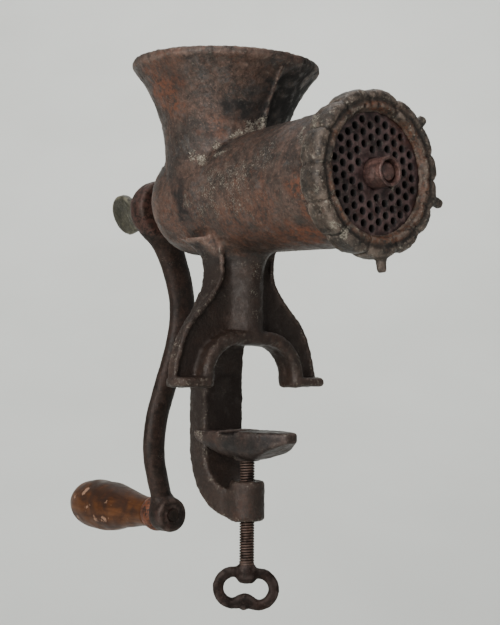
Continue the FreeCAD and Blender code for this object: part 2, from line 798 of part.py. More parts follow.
def crank_arm():
    sections = []
    for number, (height, offset, width, depth) in enumerate(ARM_STATIONS):
        section = doc.addObject("Part::Ellipse", "arm_section_%d" % number)
        section.MajorRadius = width / 2
        section.MinorRadius = depth / 2
        place(section, UPRIGHT, str(offset), "dims.arm_plane", str(height))
        sections.append(section)
    arm = doc.addObject("Part::Loft", "arm_bar")
    arm.Sections = sections
    arm.Solid = True
    hub = turned_about_y("crank_hub", [
        ("dims.hub_front", "0"),
        ("dims.hub_front", "dims.hub_radius - 0.8"),
        ("dims.hub_front + 0.8", "dims.hub_radius"),
        ("dims.hub_back - 4", "dims.hub_radius"),
        ("dims.hub_back", "dims.hub_radius - 4", "4", -1),
        ("dims.hub_back", "0"),
    ])
    boss = turned_about_y("crank_boss", [
        ("dims.boss_front", "0"),
        ("dims.boss_front", "dims.crank_boss_radius - 1.5"),
        ("dims.boss_front + 1.5", "dims.crank_boss_radius", "1.5", -1),
        ("dims.boss_back", "dims.crank_boss_radius"),
        ("dims.boss_back", "0"),
    ], HANDLE_X, HANDLE_Z)
    square = "dims.shaft_square + 0.2"
    hole = block("crank_square_hole", square, "dims.hub_back - dims.hub_front + 4", square,
                 "-(%s) / 2" % square, "dims.hub_front - 2", "dims.axis_height - (%s) / 2" % square)
    pin_hole = rod("crank_pin_hole", "dims.pin_radius", "dims.boss_back - dims.boss_front + 4",
                   x=HANDLE_X, y="dims.boss_front - 2", z=HANDLE_Z)
    collar_face = rod("collar_face", "dims.collar_radius + 0.5", "3", x=HANDLE_X, y="dims.boss_back",
                      z=HANDLE_Z)
    solid = joined("crank_solid", [arm, hub, boss])
    keep(without("crank", solid, [hole, pin_hole, collar_face]), "crank_arm")


def thumbscrew():
    """The spade-headed screw that holds the crank on its square."""
    shank = turned_about_y("thumb_shank", [
        ("dims.shaft_end - 16", "0"),
        ("dims.shaft_end - 16", "dims.thumb_shank_radius"),
        ("dims.hub_back + dims.face_gap", "dims.thumb_shank_radius"),
        ("dims.hub_back + dims.face_gap", "8.6"),
        ("dims.hub_back + 3.2", "8.6"),
        ("dims.hub_back + 5.2", "5.4", "3", -1),
        ("dims.thumb_centre - 8", "4.4"),
        ("dims.thumb_centre - 4", "2.2"),
        ("dims.thumb_centre - 4", "0"),
    ])
    spade = doc.addObject("Part::Cylinder", "thumb_spade")
    bind(spade, {"Radius": "dims.thumb_radius", "Height": "dims.thumb_thickness"})
    tilt = math.radians(size("dims.thumb_turn"))
    across = FreeCAD.Vector(math.cos(tilt), 0, math.sin(tilt))
    centre = FreeCAD.Vector(0, size("dims.thumb_centre"), size("dims.axis_height"))
    corner = centre - across * (size("dims.thumb_thickness") / 2)
    spade.Placement = FreeCAD.Placement(corner, FreeCAD.Rotation(FreeCAD.Vector(0, 0, 1), across))
    rim = rounded("thumb_spade_rounded", spade, 1.6, lambda edge: edge.Length > 30)
    keep(joined("thumbscrew", [shank, rim]), "crank_thumbscrew")


def handle_pieces():
    """Pin, collar, grip and end washer, along the handle's own axis."""
    pin = turned_about_y("handle_pin", [
        ("dims.boss_front - 0.6", "0"),
        ("dims.boss_front - 0.6", "dims.pin_radius"),
        ("dims.pin_end", "dims.pin_radius"),
        ("dims.pin_end", "dims.pin_radius + 1.2"),
        ("dims.pin_end + 2", "dims.pin_radius - 0.6", "3", 1),
        ("dims.pin_end + 2", "0"),
    ], HANDLE_X, HANDLE_Z)
    keep(pin, "handle_pin")
    collar = turned_about_y("collar", [
        ("dims.boss_back", "dims.pin_radius"),
        ("dims.boss_back", "dims.collar_radius - 1.4"),
        ("dims.boss_back + 3", "dims.collar_radius"),
        ("dims.collar_back - 2", "dims.collar_radius - 0.4"),
        ("dims.collar_back", "dims.collar_radius - 1.6"),
        ("dims.collar_back", "dims.pin_radius"),
    ], HANDLE_X, HANDLE_Z)
    keep(collar, "handle_collar")
    floor = "dims.grip_end - dims.grip_recess_depth"
    washer = turned_about_y("grip_washer", [
        (floor + " + dims.face_gap", "dims.pin_radius"),
        (floor + " + dims.face_gap", "dims.grip_recess_radius - 0.5"),
        ("dims.pin_end", "dims.grip_recess_radius - 0.5"),
        ("dims.pin_end", "dims.pin_radius"),
    ], HANDLE_X, HANDLE_Z)
    keep(washer, "grip_washer")
    start = "dims.collar_back + dims.face_gap"
    corners = [(start, "dims.pin_radius + dims.running_gap"), (start, "dims.grip_neck_radius")]
    for along, share in GRIP_STATIONS:
        corners.append(("%s + %s * (dims.grip_end - dims.collar_back)" % (start, along),
                        "%s * dims.grip_radius" % share))
    corners += [
        ("dims.grip_end", "dims.grip_recess_radius + 0.6"),
        ("dims.grip_end", "dims.grip_recess_radius"),
        (floor, "dims.grip_recess_radius"),
        (floor, "dims.pin_radius + dims.running_gap"),
    ]
    keep(turned_about_y("grip", corners, HANDLE_X, HANDLE_Z), "handle_grip")


# ---------------------------------------------------------------- clamp

def clamp_pad():
    """The boat-shaped jaw: its side outline and its plan, cut from one block, forked at the back."""
    side = [
        ("dims.pad_tip", "dims.pad_top"),
        ("dims.pad_tip", "dims.pad_keel_top"),
        ("-5", "dims.pad_bottom"),
        ("6", "dims.pad_bottom"),
        ("20", "dims.pad_top - 9", "26", 1),
        ("dims.pad_back", "dims.pad_top - 5.5"),
        ("dims.pad_back", "dims.pad_top"),
    ]
    side_sketch = outline("pad_side", SIDE, side, "-dims.pad_half_width", "0", "0")
    body = extruded("pad_body", side_sketch, FreeCAD.Vector(1, 0, 0), "2 * dims.pad_half_width")
    plan = [
        ("-dims.pad_tip_half_width", "dims.pad_tip"),
        ("dims.pad_tip_half_width", "dims.pad_tip"),
        ("dims.pad_half_width - 1.6", "2", "70", 1),
        ("dims.pad_half_width", "14", "40", 1),
        ("dims.pad_half_width", "dims.pad_back"),
        ("-dims.pad_half_width", "dims.pad_back"),
        ("-dims.pad_half_width", "14"),
        ("-(dims.pad_half_width - 1.6)", "2", "40", 1),
    ]
    plan[0] = plan[0] + ("70", 1)
    reach = "-dims.pad_bottom + 2"
    plan_solid = extruded("pad_plan", outline("pad_plan_outline", UPRIGHT, plan),
                          FreeCAD.Vector(0, 0, -1), reach)
    keel = [
        ("-dims.pad_keel_half_width", "dims.pad_bottom"),
        ("dims.pad_keel_half_width", "dims.pad_bottom"),
        ("dims.pad_half_width", "dims.pad_keel_top", "36", 1),
        ("dims.pad_half_width", "dims.pad_top"),
        ("-dims.pad_half_width", "dims.pad_top"),
        ("-dims.pad_half_width", "dims.pad_keel_top"),
    ]
    keel[0] = keel[0] + ("36", 1)
    keel_sketch = outline("pad_keel_outline", FRONT, keel, "0", "dims.pad_tip - 1", "0")
    keel_solid = extruded("pad_keel", keel_sketch, FreeCAD.Vector(0, 1, 0),
                          "dims.pad_back - dims.pad_tip + 2")
    blank = overlap("pad_blank", [body, plan_solid, keel_solid])
    slot = block("pad_slot", "2 * dims.pad_slot_half_width", "40", "40", "-dims.pad_slot_half_width",
                 "dims.pad_slot_front", "dims.pad_bottom - 5")
    groove = block("pad_groove", "60", "dims.pad_groove_width", "10", "-30", "-dims.pad_groove_width / 2",
                   "dims.pad_top - dims.pad_groove_depth")
    socket = rod("pad_socket", "dims.screw_radius + 0.1", "dims.spigot_shoulder - dims.pad_bottom + 2.1",
                 UPRIGHT, z="dims.pad_bottom - 2")
    eye = rod("pad_eye", "dims.spigot_radius + dims.running_gap", "20", UPRIGHT, z="dims.spigot_shoulder - 1")
    keep(without("pad", blank, [slot, groove, socket, eye]), "clamp_pad")


def clamp_screw():
    """The screw's shank, the spigot that turns in the pad and its riveted end."""
    groove_floor = "dims.pad_top - dims.pad_groove_depth"
    sketch = outline("clamp_screw_outline", FRONT, [
        ("0", "dims.screw_bottom"),
        ("dims.screw_radius", "dims.screw_bottom"),
        ("dims.screw_radius", "dims.spigot_shoulder"),
        ("dims.spigot_radius", "dims.spigot_shoulder"),
        ("dims.spigot_radius", groove_floor + " + 1.3"),
        ("0", groove_floor + " + 1.3"),
    ])
    keep(turned("clamp_screw", sketch, FreeCAD.Vector(0, 0, 1)), "clamp_screw")
    washer = rod("pad_washer_disc", "5.2", "1.2", UPRIGHT, z=groove_floor + " + dims.face_gap")
    hole = rod("pad_washer_hole", "dims.spigot_radius", "4", UPRIGHT, z=groove_floor + " - 1")
    keep(without("pad_washer", washer, [hole]), "pad_washer")


def rounded_bar_outline(name, half_width, low, high, corner):
    """A level rounded rectangle in the key's own upright plane."""
    near = half_width - corner
    corners = [
        (near, low),
        (half_width, low + corner, corner, 1),
        (half_width, high - corner),
        (near, high, corner, 1),
        (-near, high),
        (-half_width, high - corner, corner, 1),
        (-half_width, low + corner),
        (-near, low, corner, 1),
    ]
    spin = FreeCAD.Rotation(FreeCAD.Vector(0, 0, 1), -size("dims.key_turn"))
    lean = FreeCAD.Rotation(FreeCAD.Vector(0, 1, 0), size("dims.key_lean"))
    sketch = outline(name, FRONT, corners)
    for axis in "xyz":
        sketch.setExpression("Placement.Base." + axis, None)
    centre = FreeCAD.Vector(0, 0, (low + high) / 2)
    start = FreeCAD.Vector(size("dims.key_offset"), size("dims.key_thickness") / 2, 0)
    base = spin.multVec(start + centre - lean.multVec(centre))
    sketch.Placement = FreeCAD.Placement(base, spin.multiply(lean).multiply(FRONT))
    across = spin.multVec(FreeCAD.Vector(0, -1, 0))
    return extruded(name + "_solid", sketch, across, "dims.key_thickness")


def clamp_key():
    """The looped key at the screw's foot, turned so that its loop faces sideways and forwards."""
    low, high = size("dims.key_bottom"), size("dims.key_top")
    bar = size("dims.key_thickness")
    half_width = size("dims.key_half_width")
    ring = rounded_bar_outline("key_outer", half_width, low, high, (high - low) / 2 - 0.2)
    hole = rounded_bar_outline("key_inner", half_width - bar, low + bar, high - bar,
                               (high - low) / 2 - bar - 0.2)
    loop = without("key_loop", ring, [hole])
    loop_rounded = rounded("key_loop_rounded", loop, 1.6, lambda edge: True)
    neck = turned("key_neck", outline("key_neck_outline", FRONT, [
        ("0", "dims.key_top - 7.4"),
        ("3.0", "dims.key_top - 7.4"),
        ("5.6", "dims.key_top - 3.4", "4.4", 1),
        ("dims.screw_radius + 0.9", "dims.screw_bottom + 2.4"),
        ("dims.screw_radius", "dims.screw_bottom + 3"),
        ("0", "dims.screw_bottom + 3"),
    ]), FreeCAD.Vector(0, 0, 1))
    socket = rod("key_socket", "dims.screw_radius", "10", UPRIGHT, z="dims.screw_bottom")
    keep(without("key", joined("key_solid", [loop_rounded, neck]), [socket]), "clamp_key")


def report_failures():
    """Stop if any object of the document failed, or any sub-part is missing or not valid."""
    for item in doc.Objects:
        if "Invalid" in item.State or "Error" in item.State:
            raise RuntimeError("%s failed: %s" % (item.Name, item.State))
    for item in BODIES:
        if item.Shape.isNull() or not item.Shape.isValid():
            raise RuntimeError("%s has no valid shape" % item.Label)


def write_parts():
    os.makedirs("parts", exist_ok=True)
    for item in BODIES:
        item.Shape.exportStep(os.path.join("parts", item.Label + ".step"))
        print("%-22s %9.0f mm3, %d solid(s)" % (item.Label, item.Shape.Volume, len(item.Shape.Solids)))


for make in (casting, locating_pin, grinding_plate, plate_bush, ring_nut, cutter_stud, cutter_knife,
             feed_screw, thrust_washer, crank_arm, thumbscrew, handle_pieces, clamp_pad, clamp_screw,
             clamp_key):
    make()
doc.recompute()
report_failures()
write_parts()
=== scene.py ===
"""Looks of a hand-cranked table mincer in aged cast iron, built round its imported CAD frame.

Cast pieces are described as signed distances in millimetres on a block of sample points (below zero
is inside), with the fillets that a casting has, and meshed. Turned pieces are lathed, and the
clamp screw's thread is cut as a true helix. Every material is made of nodes.
"""

import math

import bpy
import numpy as np
import openvdb
from mathutils import Matrix, Vector


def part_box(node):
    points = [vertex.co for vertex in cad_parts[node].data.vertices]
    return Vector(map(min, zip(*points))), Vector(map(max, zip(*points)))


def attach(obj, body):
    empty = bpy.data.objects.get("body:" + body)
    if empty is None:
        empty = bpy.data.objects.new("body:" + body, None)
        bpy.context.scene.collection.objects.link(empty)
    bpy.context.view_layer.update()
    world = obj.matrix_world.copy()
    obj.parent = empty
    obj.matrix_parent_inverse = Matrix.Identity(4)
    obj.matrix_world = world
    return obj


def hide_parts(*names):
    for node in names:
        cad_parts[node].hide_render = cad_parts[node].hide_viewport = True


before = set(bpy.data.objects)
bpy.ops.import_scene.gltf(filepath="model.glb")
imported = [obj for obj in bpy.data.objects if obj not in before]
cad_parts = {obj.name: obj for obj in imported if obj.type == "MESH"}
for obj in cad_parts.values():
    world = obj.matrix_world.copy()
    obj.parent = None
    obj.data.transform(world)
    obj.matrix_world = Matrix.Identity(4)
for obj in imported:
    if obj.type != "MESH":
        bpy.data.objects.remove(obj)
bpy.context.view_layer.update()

MM = 0.001
FULL_TURN = 2 * math.pi


def extent(node):
    """Lowest and highest corners of a CAD node, in millimetres."""
    low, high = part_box(node)
    return np.array(low) / MM, np.array(high) / MM


def middle(node):
    low, high = extent(node)
    return (low + high) / 2


AXIS_Z = middle("grinding_plate")[2]
HANDLE_X = middle("handle_collar")[0]
HANDLE_Z = middle("handle_collar")[2]


# ---- shapes as distances

class Space:
    """A block of sample points between two corners, that far apart, in millimetres."""

    def __init__(self, low, high, step):
        self.low = np.array(low, np.float32)
        self.step = step
        axes = [np.arange(a, b + step, step, dtype=np.float32) for a, b in zip(low, high)]
        self.x, self.y, self.z = np.meshgrid(*axes, indexing="ij", sparse=True)


def union(a, b, fillet):
    """Both shapes, with a fillet where they meet."""
    share = np.clip(0.5 + 0.5 * (b - a) / fillet, 0, 1)
    return b + (a - b) * share - fillet * share * (1 - share)


def common(a, b, edge):
    """What lies in both shapes, with a rounded edge."""
    return -union(-a, -b, edge)


def minus(a, b, edge):
    """The first shape without the second, with a rounded edge."""
    return -union(-a, b, edge)


def smooth_step(value, low, high):
    """0 up to low and 1 from high, eased between. It falls if low is the larger."""
    share = np.clip((value - low) / (high - low), 0, 1)
    return share * share * (3 - 2 * share)


def rounded(across, along, radius):
    """Distance to a corner of that radius between two faces."""
    outside = np.hypot(np.maximum(across + radius, 0), np.maximum(along + radius, 0))
    return outside + np.minimum(np.maximum(across, along) + radius, 0) - radius


def curve(places, values, points):
    """Values interpolated smoothly through stations, with the slope eased at each."""
    places, values = np.array(places, float), np.array(values, float)
    slopes = np.gradient(values, places)
    index = np.clip(np.searchsorted(places, points) - 1, 0, len(places) - 2)
    span = places[index + 1] - places[index]
    t = np.clip((points - places[index]) / span, 0, 1)
    low, high = values[index], values[index + 1]
    bend_low, bend_high = slopes[index] * span, slopes[index + 1] * span
    ease = t * t * (3 - 2 * t)
    hermite = low * (1 - ease) + high * ease + bend_low * t * (1 - t) ** 2 - bend_high * t * t * (1 - t)
    return hermite.astype(np.float32)


def flatness(s, line):
    """Cosine of the slope of a line drawn over height, to make sideways distances true."""
    return 1 / np.hypot(1, np.gradient(line.ravel(), s.step)).reshape(line.shape).astype(np.float32)


def polygon(a, b, corners):
    """Signed distance in a plane to a closed outline."""
    corners = np.array(corners, np.float32)
    distance = np.full(np.broadcast(a, b).shape, 1e6, np.float32)
    inside = np.zeros(distance.shape, bool)
    for start, end in zip(np.roll(corners, 1, axis=0), corners):
        edge = end - start
        length = max(float(edge @ edge), 1e-9)
        share = np.clip(((a - start[0]) * edge[0] + (b - start[1]) * edge[1]) / length, 0, 1)
        to_edge = np.hypot(a - start[0] - edge[0] * share, b - start[1] - edge[1] * share)
        distance = np.minimum(distance, to_edge)
        if start[1] != end[1]:
            crossing = start[0] + edge[0] * (b - start[1]) / edge[1]
            inside ^= ((start[1] > b) != (end[1] > b)) & (a < crossing)
    return np.where(inside, -distance, distance)


def arc(centre, radius, start, end, steps=8):
    """Points of an arc, with angles in degrees."""
    angles = np.radians(np.linspace(start, end, steps))
    return [(centre[0] + radius * math.cos(t), centre[1] + radius * math.sin(t)) for t in angles]


def ripple(points, size, seed, count=24):
    """A smooth random field over points, about one high: a sum of waves of about that size."""
    rng = np.random.default_rng(seed)
    waves = rng.normal(size=(count, 3))
    waves *= (FULL_TURN / size * rng.uniform(0.6, 1.6, count) / np.linalg.norm(waves, axis=1))[:, None]
    return np.cos(points @ waves.T + rng.uniform(0, FULL_TURN, count)).sum(1) / math.sqrt(count / 2)


def blotches(points, spots):
    """How much each point lies in one of the spots (x, y, z, radius, strength), in millimetres."""
    amount = np.zeros(len(points))
    wobble = 0.25 * ripple(points, 9, 5)
    for x, y, z, radius, strength in spots:
        distance = np.linalg.norm(points - (x, y, z), axis=1) / radius + wobble
        amount = np.maximum(amount, strength * (1 - smooth_step(distance, 0.45, 1.15)))
    return amount


# ---- meshes

def add_to_scene(thing):
    bpy.context.scene.collection.objects.link(thing)


def new_mesh(name, points, faces, material):
    """A smooth-shaded object in the scene, from points in metres."""
    mesh = bpy.data.meshes.new(name)
    mesh.from_pydata(points, [], faces)
    mesh.validate()
    mesh.shade_smooth()
    piece = bpy.data.objects.new(name, mesh)
    add_to_scene(piece)
    mesh.materials.append(material)
    return piece


def mark(piece, name, values):
    """Store a value at every point of a piece, for its material to read."""
    layer = piece.data.attributes.get(name) or piece.data.attributes.new(name, "FLOAT", "POINT")
    layer.data.foreach_set("value", np.asarray(values, np.float32))


def mark_spots(piece, points, spots):
    """Mark a piece with each named list of spots."""
    for label, places in spots.items():
        mark(piece, label, blotches(points, places))


def surface_points(piece):
    """A piece's points in millimetres."""
    flat = np.empty(len(piece.data.vertices) * 3)
    piece.data.vertices.foreach_get("co", flat)
    return flat.reshape(-1, 3) / MM


def place(piece, body, slot, *nodes):
    """Let a piece ride on a body in the place of CAD nodes."""
    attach(piece, body)
    if nodes:
        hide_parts(*nodes)
    return piece


BAND = 3.0          # steps of distance that are kept on each side of a surface
BEND_REACH = 1.6    # how far from the surface its bend is measured


def cast(name, space, field, material, rough, grain, turn=None, spots=None, smooth=0.01):
    """Mesh a field. The surface gets a casting's unevenness, and its edges and hollows are marked."""
    step = space.step
    volume = openvdb.FloatGrid(BAND)
    volume.copyFromArray(np.clip(field / step, -BAND, BAND).astype(np.float32))
    points, triangles, quads = volume.convertToPolygons(0.0, smooth)
    reach = max(1, round(BEND_REACH / step))
    index = np.rint(points).astype(int)
    limit = np.array(field.shape) - 1 - reach
    index = np.clip(index, reach, limit)
    bend = -6 * field[tuple(index.T)]
    gradient = np.zeros_like(points)
    for axis in range(3):
        offset = np.zeros(3, int)
        offset[axis] = reach
        ahead = field[tuple((index + offset).T)]
        behind = field[tuple((index - offset).T)]
        bend = bend + ahead + behind
        gradient[:, axis] = ahead - behind
    gradient /= np.linalg.norm(gradient, axis=1, keepdims=True) + 1e-9
    bend = bend / (reach * step) ** 2
    points = points * step + space.low
    bumps = 0.6 * ripple(points, grain, 11) + 0.4 * ripple(points, grain / 2.6, 12)
    points = points + gradient * (rough * bumps)[:, None]
    faces = [face[::-1] for face in triangles.tolist()] + [face[::-1] for face in quads.tolist()]
    piece = new_mesh(name, (points * MM).tolist(), faces, material)
    mark(piece, "edge", np.clip(bend * 1.7 - 0.12, 0, 1))
    mark(piece, "hollow", np.clip(-bend * 1.1 - 0.05, 0, 1))
    mark_spots(piece, points, spots or {})
    if turn is not None:
        piece.data.transform(turn)
    return piece


def ring_faces(rows, segments):
    """Faces between rows of points round an axis. The last row joins the first."""
    faces = []
    for row in range(rows):
        following = (row + 1) % rows
        for number in range(segments):
            beside = (number + 1) % segments
            faces.append((row * segments + number, row * segments + beside,
                          following * segments + beside, following * segments + number))
    return faces


def lathe(name, outline, material, centre, segments=96, dents=0.0, seed=1):
    """Turn a closed outline of (y, radius) points about a line along Y through centre (x, z)."""
    points = []
    for y, radius in outline:
        for number in range(segments):
            angle = FULL_TURN * number / segments
            points.append((radius * math.cos(angle), y, radius * math.sin(angle)))
    points = np.array(points)
    if dents:
        push = 1 + dents * ripple(points, 16, seed) / max(radius for _, radius in outline)
        points[:, 0] *= push
        points[:, 2] *= push
    points += (centre[0], 0, centre[1])
    return new_mesh(name, (points * MM).tolist(), ring_faces(len(outline), segments), material)


def softened(corners, radius, steps):
    """A closed outline with each corner rounded."""
    result = []
    corners = [np.array(corner, float) for corner in corners]
    for number, corner in enumerate(corners):
        before, after = corners[number - 1], corners[(number + 1) % len(corners)]
        back, forth = before - corner, after - corner
        cut = min(radius, np.linalg.norm(back) * 0.45, np.linalg.norm(forth) * 0.45)
        start = corner + back / np.linalg.norm(back) * cut
        end = corner + forth / np.linalg.norm(forth) * cut
        for t in np.linspace(0, 1, steps):
            result.append(tuple(start * (1 - t) ** 2 + corner * 2 * t * (1 - t) + end * t * t))
    return result


# ---- materials

class Shader:
    """A node material with one Principled shader, and short names for the nodes it is made of."""

    def __init__(self, name):
        self.material = bpy.data.materials.new(name)
        self.material.use_nodes = True
        self.tree = self.material.node_tree
        self.surface = self.tree.nodes["Principled BSDF"]
        self.place = self.add("ShaderNodeTexCoord").outputs["Object"]

    def add(self, kind, **inputs):
        node = self.tree.nodes.new(kind)
        for name, value in inputs.items():
            self.feed(node.inputs[name.replace("_", " ")], value)
        return node

    def feed(self, socket, value):
        """Link a socket, or set its value."""
        if isinstance(value, bpy.types.NodeSocket):
            self.tree.links.new(value, socket)
        else:
            socket.default_value = value

    def noise(self, size, detail=4.0, roughness=0.55, distortion=0.0, stretch=None):
        """Noise with features of about size millimetres."""
        place = self.place
        if stretch:
            place = self.add("ShaderNodeMapping", Vector=place, Scale=stretch).outputs["Vector"]
        node = self.add("ShaderNodeTexNoise", Vector=place, Scale=1 / (size * MM), Detail=detail,
                        Roughness=roughness, Distortion=distortion)
        return node.outputs["Fac"]

    def between(self, value, low, high, to_low=0.0, to_high=1.0):
        """A value eased from one span to another."""
        node = self.add("ShaderNodeMapRange")
        node.interpolation_type = "SMOOTHSTEP"
        for socket, number in zip(node.inputs[:5], (value, low, high, to_low, to_high)):
            self.feed(socket, number)
        return node.outputs[0]

    def maths(self, operation, a, b):
        node = self.tree.nodes.new("ShaderNodeMath")
        node.operation = operation
        node.use_clamp = True
        self.feed(node.inputs[0], a)
        self.feed(node.inputs[1], b)
        return node.outputs[0]

    def mix(self, share, a, b):
        node = self.tree.nodes.new("ShaderNodeMix")
        node.data_type = "RGBA"
        self.feed(node.inputs[0], share)
        for socket, value in ((node.inputs[6], a), (node.inputs[7], b)):
            is_socket = isinstance(value, bpy.types.NodeSocket)
            self.feed(socket, value if is_socket else tuple(value) + (1.0,))
        return node.outputs[2]

    def attribute(self, name):
        node = self.tree.nodes.new("ShaderNodeAttribute")
        node.attribute_name = name
        return node.outputs["Fac"]

    def bump(self, height, depth, strength=1.0, normal=None):
        """Bumps of that depth in millimetres."""
        node = self.add("ShaderNodeBump", Height=height, Distance=depth * MM, Strength=strength)
        if normal is not None:
            self.feed(node.inputs["Normal"], normal)
        return node.outputs["Normal"]

    def finish(self, colour, roughness, normal, metallic=0.0, specular=0.5):
        self.feed(self.surface.inputs["Base Color"], colour)
        self.feed(self.surface.inputs["Roughness"], roughness)
        self.feed(self.surface.inputs["Normal"], normal)
        self.surface.inputs["Metallic"].default_value = metallic
        self.surface.inputs["Specular IOR Level"].default_value = specular
        return self.material


def aged_iron(name, dark, brown, rust, pale=(0.30, 0.27, 0.215), rust_amount=0.4, chip_amount=0.5,
              gloss=(0.42, 0.66), fine=0.14, painted_sheen=(0.058, 0.057, 0.056), sooty_below=None,
              specular=0.34, patina=(0.030, 0.026, 0.021)):
    """Old cast iron: two browns, painted cool grey reflection patches, rust blooms, pale encrustation
    with some painted glints, edges lightened for wear and painted highlight, painted shade in the
    hollows, dark spots of stains and painted shade.
    """
    m = Shader(name)
    edge, hollow = m.attribute("edge"), m.attribute("hollow")
    cloud = m.noise(17, 9, 0.72, 0.5)
    speck = m.noise(2.4, 7, 0.75)
    colour = m.mix(m.between(cloud, 0.43, 0.57), dark, brown)
    # Painted reflection: cool grey gloss patches are mixed into the colour.
    colour = m.mix(m.between(m.noise(11, 8, 0.72, 0.9), 0.53, 0.64, 0, 0.6), colour, painted_sheen)
    colour = m.mix(m.between(speck, 0.42, 0.60, 0.0, 0.6), colour, [value * 0.35 for value in dark])
    colour = m.mix(m.between(m.noise(1.3, 4, 0.7), 0.56, 0.68, 0.0, 0.5), colour,
                   [value * 2.2 + 0.01 for value in brown])
    colour = m.mix(m.between(m.noise(3.4, 8, 0.8, 1.0), 0.50, 0.60, 0, 0.55), colour, patina)
    rust_cloud = m.between(m.noise(6, 9, 0.76, 0.6), 0.56, 0.66, 0, rust_amount)
    rust_place = m.maths("MULTIPLY", m.attribute("rust"), m.between(m.noise(2.6, 8, 0.78), 0.42, 0.55))
    colour = m.mix(m.maths("MAXIMUM", rust_cloud, rust_place), colour, rust)
    # Convex edges are lightened: partly rubbed wear, partly painted highlight.
    worn_and_highlit = m.maths("MULTIPLY", edge, m.between(m.noise(5, 5), 0.38, 0.6, 0, 0.9))
    colour = m.mix(worn_and_highlit, colour, [value * 1.9 + 0.02 for value in brown])
    # Painted shade: concave places are darkened towards near black.
    colour = m.mix(m.maths("MULTIPLY", hollow, 0.75), colour, [value * 0.25 for value in dark])
    # Marked dark spots go towards near black: partly stains, partly painted shade.
    dirt_and_shade = m.maths("MULTIPLY", m.attribute("grime_and_painted_shade"), m.between(m.noise(5, 5), 0.22, 0.5))
    colour = m.mix(m.maths("MULTIPLY", dirt_and_shade, 0.9), colour, (0.008, 0.0075, 0.0075))
    if sooty_below is not None:
        height = m.add("ShaderNodeSeparateXYZ", Vector=m.place).outputs["Z"]
        soot = m.between(height, (sooty_below - 14) * MM, (sooty_below + 4) * MM, 0.78, 0.0)
        colour = m.mix(soot, colour, (0.017, 0.010, 0.007))
    # Pale encrustation, random and at the marked spots, some of which are painted highlight glints; pale
    # flecks on edges join it.
    crust_and_glint_place = m.maths("MULTIPLY", m.attribute("chips_and_glints"), 0.22)
    crust_and_glints = m.between(m.maths("ADD", m.noise(0.9, 7, 0.8, 0.3), crust_and_glint_place), 0.66, 0.73)
    fleck_cloud = m.between(m.noise(11, 3), 0.55, 0.7, 0, 0.4)
    fleck_place = m.maths("MULTIPLY", m.maths("MAXIMUM", edge, fleck_cloud), chip_amount)
    flecks = m.maths("MULTIPLY", fleck_place, m.between(m.noise(1.5, 4, 0.65, 0.3), 0.56, 0.64))
    crust_and_glints = m.maths("MAXIMUM", crust_and_glints, flecks)
    colour = m.mix(m.maths("MULTIPLY", crust_and_glints, 0.8), colour, pale)
    roughness = m.between(m.noise(5, 7, 0.7), 0.38, 0.62, gloss[0], gloss[1])
    roughness = m.maths("MAXIMUM", roughness, m.maths("MULTIPLY", dirt_and_shade, 0.85))
    normal = m.bump(m.noise(1.2, 7, 0.78), fine)
    normal = m.bump(m.noise(5.5, 6, 0.65), fine * 3.2, 0.9, normal)
    normal = m.bump(crust_and_glints, 0.25, 0.7, normal)
    return m.finish(colour, roughness, normal, 0.2, specular)


def worn_wood(name):
    """Turned beech with its grain along Y, a dark oily stain at the top, pale dings."""
    m = Shader(name)
    grain = m.noise(3.4, 6, 0.6, 0.4, stretch=(1, 0.10, 1))
    pores = m.noise(0.9, 4, 0.6, 0, stretch=(1, 0.07, 1))
    colour = m.mix(m.between(grain, 0.25, 0.75), (0.040, 0.0150, 0.0060), (0.098, 0.039, 0.0150))
    colour = m.mix(m.between(m.noise(14, 5, 0.6, 0.5), 0.44, 0.60, 0, 0.6), colour, (0.024, 0.012, 0.009))
    colour = m.mix(m.between(pores, 0.55, 0.7, 0, 0.4), colour, (0.045, 0.018, 0.010))
    stain = m.maths("MULTIPLY", m.attribute("grime_and_painted_shade"), m.between(m.noise(9, 5, 0.6, 0.5), 0.2, 0.5))
    colour = m.mix(m.maths("MULTIPLY", stain, 0.75), colour, (0.022, 0.013, 0.010))
    ding_noise = m.noise(3.0, 5, 0.6, 0.2)
    ding_place = m.maths("MULTIPLY", m.attribute("chips_and_glints"), 0.3)
    dings = m.between(m.maths("ADD", ding_noise, ding_place), 0.68, 0.76)
    colour = m.mix(m.maths("MULTIPLY", dings, 0.75), colour, (0.30, 0.175, 0.115))
    colour = m.mix(m.maths("MULTIPLY", m.attribute("rust"), 0.7), colour, (0.10, 0.072, 0.055))
    roughness = m.between(m.noise(6, 4), 0.3, 0.7, 0.34, 0.55)
    normal = m.bump(grain, 0.12)
    normal = m.bump(dings, 0.3, 0.8, normal)
    return m.finish(colour, roughness, normal, 0.0, 0.11)


def floor_paint(name):
    """Matt pale paint, a little uneven."""
    m = Shader(name)
    colour = m.mix(m.between(m.noise(400, 3), 0.3, 0.7), (0.635, 0.65, 0.62), (0.675, 0.69, 0.66))
    normal = m.bump(m.noise(5, 3), 0.03)
    return m.finish(colour, 0.9, normal, 0.0, 0.2)


def casting_iron():
    """The casting: brown and mottled above, sooty from the stand down."""
    return aged_iron(
        "casting_iron",
        dark=(0.032, 0.023, 0.019), brown=(0.080, 0.048, 0.036), rust=(0.125, 0.043, 0.021),
        rust_amount=0.3, fine=0.22, sooty_below=72.0, patina=(0.044, 0.037, 0.030))


def ring_iron():
    """The ring nut: rougher and more chipped."""
    return aged_iron(
        "ring_iron",
        dark=(0.020, 0.016, 0.013), brown=(0.054, 0.038, 0.028), rust=(0.098, 0.042, 0.024),
        rust_amount=0.25, chip_amount=0.7, gloss=(0.36, 0.58), fine=0.24,
        painted_sheen=(0.056, 0.049, 0.039))


